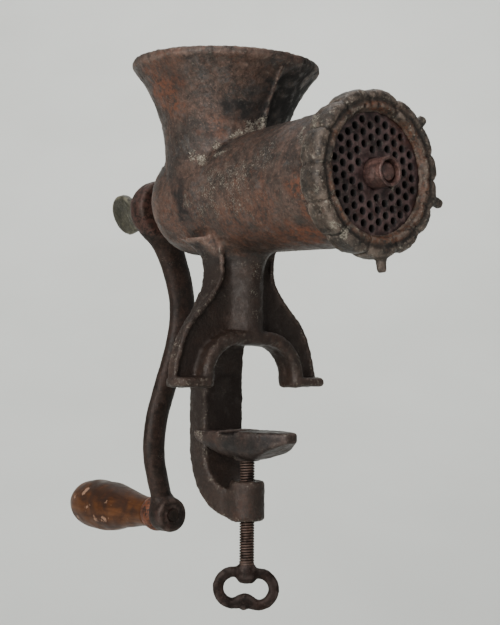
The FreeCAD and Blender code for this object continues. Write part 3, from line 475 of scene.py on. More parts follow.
def crank_iron():
    """The crank: dark and handled smooth."""
    return aged_iron(
        "crank_iron",
        dark=(0.012, 0.008, 0.006), brown=(0.028, 0.016, 0.012), rust=(0.062, 0.030, 0.024),
        rust_amount=0.15, chip_amount=0.1, gloss=(0.46, 0.66), fine=0.07,
        painted_sheen=(0.023, 0.017, 0.014), specular=0.2, patina=(0.016, 0.011, 0.008))


def clamp_iron():
    """The clamp's jaw."""
    return aged_iron(
        "clamp_iron",
        dark=(0.013, 0.009, 0.008), brown=(0.032, 0.020, 0.016), rust=(0.062, 0.026, 0.016),
        rust_amount=0.2, chip_amount=0.25, gloss=(0.42, 0.62), fine=0.11,
        painted_sheen=(0.032, 0.024, 0.020), specular=0.3, patina=(0.018, 0.013, 0.010))


def key_iron():
    """The key: the darkest and dullest iron."""
    return aged_iron(
        "key_iron",
        dark=(0.008, 0.005, 0.004), brown=(0.019, 0.011, 0.009), rust=(0.040, 0.017, 0.011),
        rust_amount=0.2, chip_amount=0.1, gloss=(0.50, 0.70), fine=0.11,
        painted_sheen=(0.018, 0.012, 0.009), specular=0.11, patina=(0.012, 0.008, 0.006))


def plate_steel():
    """The perforated plate and the knife: reddish dark steel."""
    return aged_iron(
        "plate_steel",
        dark=(0.018, 0.010, 0.010), brown=(0.040, 0.020, 0.019), rust=(0.075, 0.029, 0.020),
        rust_amount=0.3, chip_amount=0.15, gloss=(0.36, 0.56), fine=0.05,
        painted_sheen=(0.045, 0.027, 0.027))


def bush_steel():
    """The sleeve and stud: paler, rubbed steel."""
    return aged_iron(
        "bush_steel",
        dark=(0.055, 0.030, 0.027), brown=(0.115, 0.062, 0.053), rust=(0.120, 0.048, 0.030),
        rust_amount=0.3, chip_amount=0.2, gloss=(0.28, 0.48), fine=0.05,
        painted_sheen=(0.115, 0.085, 0.078))


def screw_steel():
    """The clamp screw."""
    return aged_iron(
        "screw_steel",
        dark=(0.015, 0.009, 0.007), brown=(0.040, 0.021, 0.014), rust=(0.090, 0.038, 0.020),
        rust_amount=0.5, chip_amount=0.1, gloss=(0.4, 0.58), fine=0.04,
        painted_sheen=(0.032, 0.025, 0.022), specular=0.25, patina=(0.018, 0.012, 0.009))


def collar_iron():
    """The collar at the grip: orange with rust."""
    return aged_iron(
        "collar_iron",
        dark=(0.022, 0.011, 0.008), brown=(0.064, 0.027, 0.016), rust=(0.150, 0.047, 0.020),
        rust_amount=1.0, chip_amount=0.2, gloss=(0.46, 0.66), painted_sheen=(0.028, 0.022, 0.020),
        specular=0.25)


def thumb_metal():
    """The thumbscrew: an olive metal."""
    return aged_iron(
        "thumb_metal",
        dark=(0.028, 0.026, 0.018), brown=(0.064, 0.059, 0.040), rust=(0.070, 0.050, 0.028),
        rust_amount=0.3, chip_amount=0.3, gloss=(0.36, 0.56), painted_sheen=(0.080, 0.078, 0.058))


IRON = casting_iron()
RING_IRON = ring_iron()
CRANK_IRON = crank_iron()
CLAMP_IRON = clamp_iron()
KEY_IRON = key_iron()
PLATE_STEEL = plate_steel()
BUSH_STEEL = bush_steel()
SCREW_STEEL = screw_steel()
RUSTY_IRON = collar_iron()
THUMB_METAL = thumb_metal()
WOOD = worn_wood("grip_wood")


# ---- the casting

BARREL_FRONT, BARREL_END = -93.6, 62.0
THREAD_PITCH = 2.5
BARREL_PROFILE = (
    # place along the barrel, radius
    (BARREL_FRONT, 36.7), (-84.6, 36.7), (-82.2, 34.2), (44.0, 29.9), (50.0, 28.1), (56.0, 24.3),
    (BARREL_END, 19.0),
)
BORE_PROFILE = (
    # place along the barrel, radius
    (-95.0, 35.06), (-87.0, 35.06), (-86.95, 30.6), (52.0, 26.2), (52.05, 8.06), (80.0, 8.06),
)
WEB_PROFILE = (
    # height, half width, depth
    (0.0, 48.0, 4.5), (12.5, 47.2, 4.5), (21.0, 44.9, 4.6), (33.7, 37.7, 5.2), (46.5, 25.8, 9.5),
    (55.0, 20.6, 12.5), (63.4, 18.0, 15.5), (70.0, 19.0, 17.0), (76.0, 24.5, 20.0), (80.0, 30.0, 24.0),
)
LIP_PROFILE = (
    # height, sideways offset
    (0.0, 46.8), (7.0, 46.3), (14.0, 44.9), (25.0, 41.2), (33.8, 36.2), (40.0, 30.0),
    (51.0, 20.6), (57.0, 17.3), (66.0, 16.8), (76.0, 18.3), (80.0, 19.0),
)
WEB_FRONT = 1.8
WEB_TOP = 79.0
ARCH_HALF_WIDTH, ARCH_TOP, ARCH_CORNER = 26.6, 22.6, 17.0
STRAP_HALF_WIDTH = 13.0
HOPPER_Y = 22.5
HOPPER_START = 122.0        # height where its flare begins
HOPPER_LEAN = math.radians(1.8)
THROAT = 31.8               # radius there
FLARE = 75.0                # radius of the flare's arc
RIM_HEIGHT = 53.4           # above the flare's start
HOPPER_WALL = 4.0
HOPPER_DEPTH = 22.0         # how far it reaches down into the barrel

CASTING_SPOTS = {
    # x, y, z, radius, strength
    # Pale spots: mostly real encrustation, but the three on the rib's middle line are painted highlight
    # flecks.
    "chips_and_glints": (
        (-9, -10, 135, 6, 0.9), (-14, -8, 132, 5, 0.9), (-2, -12, 138, 6, 0.85),
        (-23, -1, 126, 4, 0.8), (-27, 5, 119, 5, 0.95), (-27, -4, 120, 5, 0.9),
        (-26, -11, 121, 5, 0.85), (-29, 10, 121, 4, 0.8), (-30, 15, 98, 4, 0.7),
        (-29, 2, 92, 5, 0.6), (-28, -8, 88, 5, 0.6), (-38, 21, 152, 5, 0.5),
        (-28, -74, 123, 5, 0.9), (-31, -78, 117, 4, 0.7), (-28, 4, 89, 6, 0.5),
        (-33, 2, 105, 5, 0.5), (-1, -8, 50, 5, 0.5), (0, -8, 62, 6, 0.55), (-1, -8, 38, 4, 0.5),
        (43, -8, 5, 5, 0.5), (-33, -80, 88, 7, 0.45), (-32, -30, 102, 18, 0.6),
        (-30, -50, 112, 14, 0.55), (-27, -25, 120, 14, 0.4), (-31, -8, 105, 13, 0.6),
        (-30, 15, 98, 14, 0.2), (-29, 1, 150, 14, 0.2), (-26, -50, 122, 16, 0.3),
    ),
    "rust": (
        (-16, -68, 74, 11, 1.0), (-20, -60, 76, 9, 0.7), (-40, 23, 156, 13, 0.8),
        (-45, 24, 166, 10, 0.6), (-34, -78, 96, 10, 0.8), (-30, -80, 82, 9, 0.7),
        (-38, 18, 148, 9, 0.7), (-8, -7, -66, 9, 0.7), (-29, 30, 85, 20, 0.35),
        (-27, 10, 84, 16, 0.3), (15, -8, 24, 9, 0.5), (-24, -2, 137, 8, 0.4),
        (-31, -47, 92, 14, 0.4), (-26, -20, 78, 16, 0.5), (-22, -45, 76, 16, 0.5),
        (-47, 8, 170, 9, 0.4), (-30, -30, 90, 14, 0.35),
    ),
    # Dark spots: partly real stains and drips, partly painted shade on the hopper's right side, on the
    # web right of the rib, over the rib's lit left flank and on the strap's front below the stand.
    "grime_and_painted_shade": (
        (-12, -12, 145, 8, 1.0), (-19, -9, 146, 7, 0.9), (10, -17, 150, 20, 1.0),
        (-31, 21, 108, 5, 0.9), (-22, -6, 123, 5, 0.7), (-15, -14, 127, 4, 0.8),
        (26, -10, 152, 24, 1.0), (34, 4, 166, 20, 1.0), (16, -24, 167, 14, 0.9),
        (-31, 21, 103, 5, 1.0), (-31, 20, 97, 4.5, 1.0), (-29, 20, 91, 6, 1.0),
        (-44, 6, 160, 9, 0.4), (20, 4, 30, 14, 0.9), (-23, 9, 56, 15, 0.9), (-31, 9, 36, 14, 0.8),
        (-19, 14, 70, 10, 0.8), (-5, -7, 66, 8, 0.5), (-6, -7, 52, 9, 0.6), (-5, -7, 38, 9, 0.6),
        (-38, 21, 152, 4, 0.6), (-36, 27, 146, 3, 0.6), (-39, 11, 157, 4, 0.6),
        (-34, 22, 139, 3, 0.5), (-15, -14, 119, 6, 0.5), (30, 4, 22, 14, 0.9), (16, 4, 45, 12, 0.8),
        (-20, 3, 50, 12, 0.5), (8, 22, -12, 30, 0.95), (-6, 22, -12, 24, 0.8),
        (-30, 4, 20, 13, 0.6), (-10, 4, 62, 8, 0.5),
    ),
}


def barrel(s):
    """The barrel with its bearing, solid, and the thread at its mouth."""
    radial = np.hypot(s.x, s.z - AXIS_Z)
    along = np.array(BARREL_PROFILE)
    radius = np.interp(s.y, along[:, 0], along[:, 1]).astype(np.float32)
    turn = np.arctan2(s.x, s.z - AXIS_Z)
    wave = 0.45 * np.cos(FULL_TURN * s.y / THREAD_PITCH - turn) - 0.2
    thread = np.where(s.y < -85.0, wave, 0)
    shell = common(radial - radius - thread, np.maximum(s.y - BARREL_END, BARREL_FRONT - s.y), 2.0)
    bearing = rounded(radial - 12.3, np.abs(s.y - 60.0) - 13.5, 1.2)
    return union(shell, bearing, 5.0)


def hopper(s):
    """Outside, with the seam on its front, and inside of the hopper, about its leaning axis."""
    rise = (s.z - HOPPER_START) * math.cos(HOPPER_LEAN) - (s.y - HOPPER_Y) * math.sin(HOPPER_LEAN)
    side = (s.y - HOPPER_Y) * math.cos(HOPPER_LEAN) + (s.z - HOPPER_START) * math.sin(HOPPER_LEAN)
    radial = np.hypot(s.x, side)
    lift = np.clip(rise, 0, 48.0)
    root = np.sqrt(FLARE ** 2 - lift ** 2)
    radius = THROAT + FLARE - root - np.clip(-rise, 0, HOPPER_DEPTH) * 0.11
    radius = radius + 1.7 * smooth_step(rise, 47.6, 50.0)
    slope = root / FLARE
    outside = common((radial - radius) * slope, np.maximum(rise - RIM_HEIGHT, -HOPPER_DEPTH - rise), 1.4)
    seam = np.hypot(s.x + 0.25 * np.sin(rise / 9.0), (radial - radius) * slope - 0.2) - 1.2
    seam = np.maximum(seam, np.maximum(side, np.maximum(-rise, rise - 46.0)))
    inside = np.maximum((radial - radius + HOPPER_WALL) * slope, -19.0 - rise)
    return union(outside, seam, 0.7), inside


def arch_gap(s):
    """Distance in the stand's plane to the opening between the legs."""
    across = np.abs(s.x) - (ARCH_HALF_WIDTH - ARCH_CORNER)
    up = s.z - (ARCH_TOP - ARCH_CORNER)
    outside = np.hypot(np.maximum(across, 0), np.maximum(up, 0))
    return outside + np.minimum(np.maximum(across, up), 0) - ARCH_CORNER


def stand(s):
    """The web with its lips and rib, the bead round the arch, and the feet."""
    height, half_width, depth = np.array(WEB_PROFILE).T
    width = curve(height, half_width, s.z)
    thick = curve(height, depth, s.z)
    steep = flatness(s, width)
    side = (np.abs(s.x) - width) * steep
    lip_height, lip_offset = np.array(LIP_PROFILE).T
    lip_x = curve(lip_height, lip_offset, s.z)
    beside_lip = np.maximum(np.abs(s.x) - lip_x - 1.0, 0)
    front = (WEB_FRONT + 1.3 * beside_lip - s.y) * 0.7
    web = rounded(side, np.maximum(front, s.y - WEB_FRONT - thick), 1.3)
    web = np.maximum(web, s.z - WEB_TOP)
    lip = np.hypot((np.abs(s.x) - lip_x) * steep, s.y - 1.3) - 1.45
    lip = np.maximum(lip, s.z - WEB_TOP)
    web = union(web, lip, 0.7)
    flare = 7.8 + 6.0 * np.clip((s.z - 58.0) / 16.0, 0, 1) ** 2
    rib = np.maximum(np.hypot(s.x, s.y - 0.5) - flare, np.maximum(s.z - WEB_TOP, 24.0 - s.z))
    web = union(web, rib, 6.5)
    gap = arch_gap(s)
    bead = rounded(np.abs(gap - 3.5) - 3.5, np.abs(s.y - 0.3) - 7.7, 3.1)
    web = union(np.maximum(web, -gap), bead, 1.8)
    foot_x = np.abs(np.abs(s.x) - 37.9) - 11.1
    foot_plan = rounded(foot_x, np.abs(s.y + 0.25) - 8.3, 5.0)
    foot = rounded(foot_plan, np.abs(s.z - 2.75) - 2.75, 2.2)
    legs = union(web, foot, 1.4)
    return common(legs, -s.z, 2.6)


def strap(s):
    """The strap that carries the clamp screw, from the barrel down."""
    outer = arc((-4.8, -30.0), 39.9, -80, 0, 12)
    upper = [(35.1, 36.0), (33.8, 42.0), (30.5, 48.0), (26.0, 53.0), (23.0, 60.0), (21.5, 78.0)]
    neck = [(3.5, 78.0), (3.5, 37.0), (7.0, 31.5), (13.5, 27.0), (18.6, 21.0), (20.2, 12.0)]
    inner = arc((2.2, -35.5), 18.0, 0, -90, 8)
    profile = polygon(s.y, s.z, outer + upper + neck + inner + [(-1, -53.5), (-1, -69.4)])
    widths = (8.6, 9.4, 11.6, STRAP_HALF_WIDTH, STRAP_HALF_WIDTH)
    low_width = curve((-2.0, 4.0, 12.0, 20.2, 36.0), widths, s.y)
    width = np.where(s.z < 0, low_width, STRAP_HALF_WIDTH).astype(np.float32)
    return common(profile, np.abs(s.x) - width, 2.0)


def casting():
    """Barrel, hopper, stand and strap in one, with its hollows cut."""
    s = Space((-53.0, -95.5, -72.0), (53.0, 75.5, 178.5), 0.85)
    cup, cavity = hopper(s)
    body = union(barrel(s), cup, 2.4)
    body = union(body, np.maximum(stand(s), -24.0 - s.z), 4.0)
    body = union(body, strap(s), 3.0)
    boss = rounded(np.hypot(s.x, s.y) - 9.2, np.abs(s.z + 59.15) - 10.45, 2.0)
    body = union(body, boss, 2.0)
    radial = np.hypot(s.x, s.z - AXIS_Z)
    bore = np.array(BORE_PROFILE)
    bore = np.maximum(radial - np.interp(s.y, bore[:, 0], bore[:, 1]).astype(np.float32), s.y - 80.0)
    hole = np.maximum(np.hypot(s.x, s.y) - 4.05, np.abs(s.z + 59.0) - 14.0)
    for cut in (cavity, bore, hole):
        body = minus(body, cut, 0.9)
    piece = cast("casting", s, body, IRON, rough=0.17, grain=5.0, spots=CASTING_SPOTS, smooth=0.02)
    points = surface_points(piece)
    rim_top = HOPPER_START + RIM_HEIGHT
    # The rim's top is darkened as well.
    rim = 0.8 * smooth_step(points[:, 2], rim_top - 2.0, rim_top)
    mark(piece, "grime_and_painted_shade", np.maximum(blotches(points, CASTING_SPOTS["grime_and_painted_shade"]), rim))
    place(piece, "body", "casting", "body_casting")


# ---- ring nut and plate

LOBE_VALLEYS = (-155, -128, -101, -71, -44, -22, 0, 19.5, 42, 71.5, 100, 126, 152, 178, 205)
RING_PEGS = ((-84.5, 47.0), (-13.5, 46.3), (43.0, 44.3))    # angle, reach
VALLEY_RADIUS, LOBE_DEPTH, SHOULDER = 38.1, 2.5, 4.6
RING_FRONT = extent("ring_nut")[0][1]
RING_BACK = extent("ring_nut")[1][1]


def lobe_height(angle):
    """0 in the valley between two lobes and 1 on a lobe's top, for angles in degrees."""
    angle = (angle + 155.0) % 360.0 - 155.0
    valleys = np.array(LOBE_VALLEYS, float)
    index = np.clip(np.searchsorted(valleys, angle) - 1, 0, len(valleys) - 2)
    share = (angle - valleys[index]) / (valleys[index + 1] - valleys[index])
    return np.sqrt(np.clip(1 - (2 * share - 1) ** 2, 0, 1)).astype(np.float32)


def ring_nut():
    """The lobed ring with its pegs, its thread, and small nicks out of its edges."""
    s = Space((-50.0, RING_FRONT - 1.5, AXIS_Z - 50.0), (50.0, RING_BACK + 1.5, AXIS_Z + 50.0), 0.55)
    z = s.z - AXIS_Z
    radial = np.hypot(s.x, z)
    lobes = lobe_height(np.degrees(np.arctan2(z, s.x)))
    in_front = np.clip(RING_FRONT + SHOULDER - s.y, 0, SHOULDER)
    shoulder = SHOULDER - np.sqrt(np.maximum(SHOULDER ** 2 - in_front ** 2, 0))
    taper = 0.7 * smooth_step(s.y, RING_BACK - 7.0, RING_BACK)
    radius = VALLEY_RADIUS + LOBE_DEPTH * lobes - shoulder * 0.9 - taper
    crown = RING_FRONT + 1.4 * (1 - lobes) + 0.7 * smooth_step(np.abs(radial - 34.6), 2.2, 0.2)
    ring = common(radial - radius, np.maximum(crown - s.y, s.y - RING_BACK), 1.6)
    for angle, tip in RING_PEGS:
        turn = math.radians(angle)
        along = s.x * math.cos(turn) + z * math.sin(turn)
        across = np.hypot(s.y + 95.4, s.x * math.sin(turn) - z * math.cos(turn))
        peg = rounded(across - 2.6 + 0.05 * (along - 40), np.abs(along - 30.0) - (tip - 30.0), 1.1)
        ring = union(ring, peg, 1.8)
    opening = np.interp(s.y, (-99.7, -95.2), (31.4, 29.0)).astype(np.float32)
    ring = minus(ring, radial - opening, 0.8)
    thread = 37.15 + 0.3 * np.cos(FULL_TURN * s.y / THREAD_PITCH - np.arctan2(s.x, z))
    ring = minus(ring, np.maximum(radial - thread, -95.17 - s.y), 0.5)
    rng = np.random.default_rng(7)
    for _ in range(34):
        turn, size = rng.uniform(0, FULL_TURN), rng.uniform(0.5, 1.5)
        reach, deep = rng.choice((32.0, 38.5, 40.6)), rng.uniform(-0.4, 9.0)
        if reach < 39:
            deep = rng.uniform(-0.6, 0.4)
        chip = np.sqrt((s.x - reach * math.cos(turn)) ** 2 + (s.y - RING_FRONT - deep) ** 2
                       + (z - reach * math.sin(turn)) ** 2) - size
        ring = minus(ring, chip, 0.7)
    spots = {
        "chips_and_glints": ((-31, -90, 124, 6, 0.8), (-38, -90, 112, 5, 0.6), (-29, -99, 75, 5, 0.9),
                  (-24, -99, 71, 4, 0.9), (30, -98, 118, 8, 0.4), (-33, -99, 86, 5, 0.5),
                  (0, -99, 138, 8, 0.35)),
        "grime_and_painted_shade": ((-38, -96, 100, 9, 0.5), (-20, -99, 66, 8, 0.5), (36, -92, 80, 12, 0.5)),
    }
    piece = cast("ring_nut_cast", s, ring, RING_IRON, rough=0.16, grain=4.0, spots=spots)
    points = surface_points(piece)
    distance = np.hypot(points[:, 0], points[:, 2] - AXIS_Z)
    mark(piece, "rust", 0.9 * smooth_step(distance, 34.8, 32.8) * (0.7 + 0.3 * ripple(points, 20, 9)))
    place(piece, "ring", "casting", "ring_nut")


def plate_holes():
    """Centres of the plate's holes: a triangular grid, turned a little on the plate."""
    pitch, turn, inner, outer = 5.75, math.radians(7.1), 11.0, 27.0
    centres = []
    for column in range(-6, 7):
        for line in range(-12, 13):
            across = column * pitch * math.sqrt(3) / 2
            up = (line + 0.5 * (column % 2)) * pitch
            if inner < math.hypot(across, up) < outer:
                centres.append((across * math.cos(turn) - up * math.sin(turn),
                                across * math.sin(turn) + up * math.cos(turn)))
    return centres


def plate():
    """The perforated plate, with painted shade inside its holes."""
    low, high = extent("grinding_plate")
    s = Space(low - 0.8, high + 0.8, 0.38)
    z = s.z - AXIS_Z
    radial = np.hypot(s.x, z)
    disc = rounded(radial - 34.95, np.abs(s.y - (low[1] + high[1]) / 2) - (high[1] - low[1]) / 2, 0.4)
    holes = np.full(np.broadcast(s.x, s.z).shape, 99.0, np.float32)
    for x, up in plate_holes():
        holes = np.minimum(holes, np.hypot(s.x - x, z - up))
    notch = np.maximum(np.abs(s.x) - 2.2, z + 35.0 - 3.2)
    for cut in (holes - 1.62, radial - 7.28, notch):
        disc = minus(disc, cut, 0.55)
    spots = {"rust": ((18, -95, 126, 12, 0.5), (-10, -95, 80, 14, 0.35), (20, -95, 96, 10, 0.4)),
             "chips_and_glints": ((12, -95, 97, 3, 0.9), (14, -95, 99, 2, 0.9)),
             "grime_and_painted_shade": ((-22, -95, 88, 14, 0.5), (0, -95, 118, 10, 0.3))}
    piece = cast("perforated_plate", s, disc, PLATE_STEEL, rough=0.02, grain=6.0, spots=spots)
    points = surface_points(piece)
    nearest = np.full(len(points), 99.0)
    for x, up in plate_holes():
        nearest = np.minimum(nearest, np.hypot(points[:, 0] - x, points[:, 2] - AXIS_Z - up))
    # Painted shade: the walls of the holes are darkened.
    in_hole = smooth_step(nearest, 2.15, 1.8)
    mark(piece, "grime_and_painted_shade", np.maximum(blotches(points, spots["grime_and_painted_shade"]), in_hole))
    place(piece, "plate", "plate_steel", "grinding_plate")


def bush_and_stud():
    """The plate's sleeve and the stud's domed end in it."""
    low, high = extent("plate_bush")
    bore = 4.81
    sleeve = softened([(high[1], bore), (high[1], 7.28), (low[1], 7.25), (low[1], 5.7), (low[1] + 5, 5.6),
                       (low[1] + 5, bore)], 1.0, 6)
    piece = lathe("plate_sleeve", sleeve, BUSH_STEEL, (0, AXIS_Z), dents=0.04)
    place(piece, "plate", "plate_steel", "plate_bush")
    low, high = extent("cutter_stud")
    dome = [(low[1] + 0.9 * (1 - math.cos(t)), 4.7 * math.sin(t)) for t in np.linspace(0.02, 1.0, 8)]
    rest = [(low[1] + 0.7, 4.2), (low[1] + 1.5, 4.72), (high[1], 4.72), (high[1], 0.1)]
    piece = lathe("stud", dome + rest, BUSH_STEEL, (0, AXIS_Z), 64, dents=0.05)
    place(piece, "feed", "plate_steel", "cutter_stud")


# ---- crank

ARM = (
    # height, sideways offset, width, depth
    (-72.0, 5.8, 13.2, 10.0), (-58.0, 1.9, 13.3, 10.0), (-40.0, -2.0, 13.5, 10.0),
    (-20.0, -0.5, 14.1, 10.2), (2.0, 6.3, 14.9, 10.4), (24.0, 13.9, 15.7, 10.8), (44.0, 17.2, 16.5, 11.2),
    (62.0, 14.2, 17.7, 11.6), (76.0, 8.8, 19.4, 11.6), (88.0, 3.0, 23.5, 11.8), (98.0, 0.2, 26.0, 12.0),
)
ARM_Y = 83.6
EYE_RADIUS, PIN_RADIUS, SQUARE = 9.8, 3.45, 11.2


def crank():
    """The S-shaped arm with its hub, the eye for the pin, and the square hole."""
    s = Space((-18.0, 75.0, HANDLE_Z - 11.5), (28.0, 93.5, AXIS_Z + 18.5), 0.6)
    height, offset, wide, deep = np.array(ARM).T
    centre = curve(height, offset, s.z)
    half = curve(height, wide, s.z) / 2
    thick = curve(height, deep, s.z) / 2
    steep = flatness(s, centre)
    bar = (np.hypot((s.x - centre) / half, (s.y - ARM_Y) / thick) - 1) * thick * steep
    bar = np.maximum(bar, np.maximum(HANDLE_Z - s.z, s.z - AXIS_Z))
    radial = np.hypot(s.x, s.z - AXIS_Z)
    dome = 16.4 - 2.2 * np.clip((s.y - 84.0) / 8.3, 0, 1) ** 3
    hub = common(radial - dome, np.abs(s.y - 84.8) - 7.45, 2.2)
    about_pin = np.hypot(s.x - HANDLE_X, s.z - HANDLE_Z)
    eye = rounded(about_pin - EYE_RADIUS, np.abs(s.y - 81.5) - 5.5, 1.5)
    body = union(union(bar, hub, 7.0), eye, 4.0)
    square = np.maximum(np.abs(s.x), np.abs(s.z - AXIS_Z)) - SQUARE / 2
    body = minus(minus(body, square, 0.4), about_pin - PIN_RADIUS, 0.4)
    spots = {"rust": ((-10, 88, 112, 18, 1.0), (-12, 85, 98, 16, 0.9), (8, 92, 95, 12, 0.6),
                      (2, 78, -76, 7, 0.5)),
             "grime_and_painted_shade": ((8, 78, 88, 8, 0.5), (10, 78, -74, 7, 0.6), (18, 80, 50, 10, 0.3)),
             "chips_and_glints": ((3, 78, 70, 5, 0.5), (0, 78, -40, 5, 0.4))}
    piece = cast("crank_bar", s, body, CRANK_IRON, rough=0.07, grain=8.0, spots=spots, smooth=0.02)
    place(piece, "crank", "crank_iron", "crank_arm")


def thumbscrew():
    """The spade-headed screw, shaped upright about Y and then tilted."""
    low, high = extent("crank_thumbscrew")
    s = Space((-14.0, low[1] - 1.0, -14.0), (14.0, high[1] + 1.0, 14.0), 0.42)
    spade_radius, lean = 12.1, math.radians(21.0)
    middle_y = high[1] - 12.2
    dish = 0.9 * np.clip(1 - (np.hypot(s.z, s.y - middle_y) / 8.5) ** 2, 0, 1)
    disc = np.hypot(s.z, s.y - middle_y) - spade_radius
    spade = rounded(disc, np.abs(s.x) - 2.3 + dish, 1.5)
    collar = rounded(np.hypot(s.x, s.z) - 8.4, np.abs(s.y - 94.1) - 1.6, 0.7)
    neck_radius = np.interp(s.y, (92.0, 97.0, 104.0, 112.0), (8.0, 6.2, 4.4, 3.2)).astype(np.float32)
    neck = np.maximum(np.hypot(s.x, s.z) - neck_radius, np.maximum(93.0 - s.y, s.y - 113.0))
    shank = rounded(np.hypot(s.x, s.z) - 3.85, np.abs(s.y - 85.0) - 10.3, 0.6)
    head = union(union(spade, neck, 2.5), collar, 1.4)
    body = union(head, shank, 0.5)
    turn = Matrix.Translation((0, 0, AXIS_Z * MM)) @ Matrix.Rotation(-lean, 4, "Y")
    piece = cast("spade_screw", s, body, THUMB_METAL, rough=0.08, grain=5.0, turn=turn)
    place(piece, "thumbscrew", "thumb_brass", "crank_thumbscrew")


def collar():
    """The iron collar between the arm and the grip, rusty all over."""
    low, high = extent("handle_collar")
    start, end = low[1], high[1]
    ring = [(start, 3.5), (start, 8.6), (start + 2.0, 10.1), (start + 4.6, 10.5), (end - 2.2, 9.9),
            (end - 0.2, 8.9), (end, 7.0), (end, 3.5)]
    piece = lathe("collar", softened(ring, 1.3, 5), RUSTY_IRON, (HANDLE_X, HANDLE_Z), dents=0.12, seed=4)
    points = surface_points(piece)
    mark(piece, "rust", 0.75 + 0.25 * ripple(points, 9, 8))
    place(piece, "crank", "crank_iron", "handle_collar")


def grip():
    """The turned grip, with a recess in its end for the pin's head."""
    low, high = extent("handle_grip")
    start, end = low[1], high[1]
    length = end - start
    along = np.linspace(0.015, 0.985, 60)
    shares = (0.0, 0.10, 0.21, 0.35, 0.50, 0.64, 0.76, 0.87, 0.95, 1.0)
    radii = (8.4, 8.8, 10.1, 12.3, 14.5, 15.15, 14.8, 12.9, 9.6, 6.3)
    outer = [(start + share * length, float(radius))
             for share, radius in zip(along, curve(shares, radii, along))]
    bottom, bore = end - 9.0, 3.57
    recess = [(end, 6.2), (end - 0.6, 6.15), (bottom, 6.15), (bottom, bore)]
    outline = [(start, bore), (start, 7.6)] + outer + recess
    piece = lathe("grip_turned", outline, WOOD, (HANDLE_X, HANDLE_Z), 128, dents=0.16, seed=3)
    points = surface_points(piece)
    spots = {
        "grime_and_painted_shade": ((HANDLE_X, 140, HANDLE_Z + 14, 22, 1.0), (HANDLE_X, 118, HANDLE_Z + 9, 14, 0.8),
                  (HANDLE_X + 10, 150, HANDLE_Z + 6, 16, 0.6), (HANDLE_X - 4, 172, HANDLE_Z + 6, 8, 0.5)),
        "chips_and_glints": ((-8, 152, -64, 4, 1.0), (-9, 146, -74, 3.5, 1.0), (-8, 138, -80, 3.5, 1.0),
                  (-7, 131, -81, 3, 1.0), (-7, 160, -84, 4, 0.8), (-6, 125, -70, 3, 0.6),
                  (-8, 163, -68, 3, 0.8)),
        "rust": ((-5, 172, -76, 9, 0.5), (-3, 174, -68, 8, 0.4)),
    }
    mark_spots(piece, points, spots)
    place(piece, "grip", "grip_wood", "handle_grip")


# ---- clamp

def clamp_pad():
    """The boat-shaped jaw: its side view, plan and keel in common, a boss, a slot and a groove."""
    low, high = extent("clamp_pad")
    s = Space(low - 1.2, high + 1.2, 0.5)
    top = high[2]
    side = [(low[1], top), (low[1], top - 5.2), (-28.0, top - 8.4), (-22.0, top - 11.4),
            (-14.0, top - 14.2), (-6.0, top - 15.8), (6.0, top - 16.0), (13.0, top - 14.4),
            (20.0, top - 10.8), (26.0, top - 7.2), (high[1], top - 4.6), (high[1], top)]
    profile = polygon(s.y, s.z, side)
    half = curve((low[1], -28.0, -16.0, 0.0, 12.0, 30.0), (3.4, 8.2, 13.0, 16.2, 17.3, 17.4), s.y)
    plan = (np.abs(s.x) - half) * 0.92
    keel_heights = (top - 17.0, top - 14.0, top - 9.0, top - 4.0, top + 2.0)
    keel_width = curve(keel_heights, (4.0, 8.2, 13.6, 16.6, 17.6), s.z)
    keel = (np.abs(s.x) - keel_width) * 0.8
    body = common(common(profile, plan, 2.4), keel, 5.0)
    cone = np.hypot(s.x, s.y) - 6.6 - 0.25 * (s.z - top + 16.0)
    boss = common(cone, np.maximum(top - 15.9 - s.z, s.z - top), 1.0)
    body = union(body, boss, 1.2)
    slot = common(np.abs(s.x) - 13.5, 19.0 - s.y, 2.0)
    groove = np.maximum(np.abs(s.y) - 6.0, top - 1.8 - s.z)
    hole = np.maximum(np.hypot(s.x, s.y) - 2.97, -34.0 - s.z)
    socket = np.maximum(np.hypot(s.x, s.y) - 4.1, s.z + 29.9)
    for cut in (slot, groove, hole, socket):
        body = minus(body, cut, 0.7)
    spots = {"chips_and_glints": ((0, -6, -23, 4, 0.5), (-15, 4, -24, 4, 0.5), (-17, 22, -24, 6, 0.7),
                       (-9, 0, -36, 5, 0.5)),
             "rust": ((0, -20, -34, 9, 0.4), (-14, 12, -28, 8, 0.4)),
             "grime_and_painted_shade": ((6, 6, -38, 7, 0.4), (-12, -4, -30, 8, 0.7), (-8, -20, -28, 8, 0.6),
                       (-15, 14, -32, 7, 0.6))}
    piece = cast("jaw_pad", s, body, CLAMP_IRON, rough=0.07, grain=6.0, spots=spots)
    place(piece, "pad", "clamp_iron", "clamp_pad")


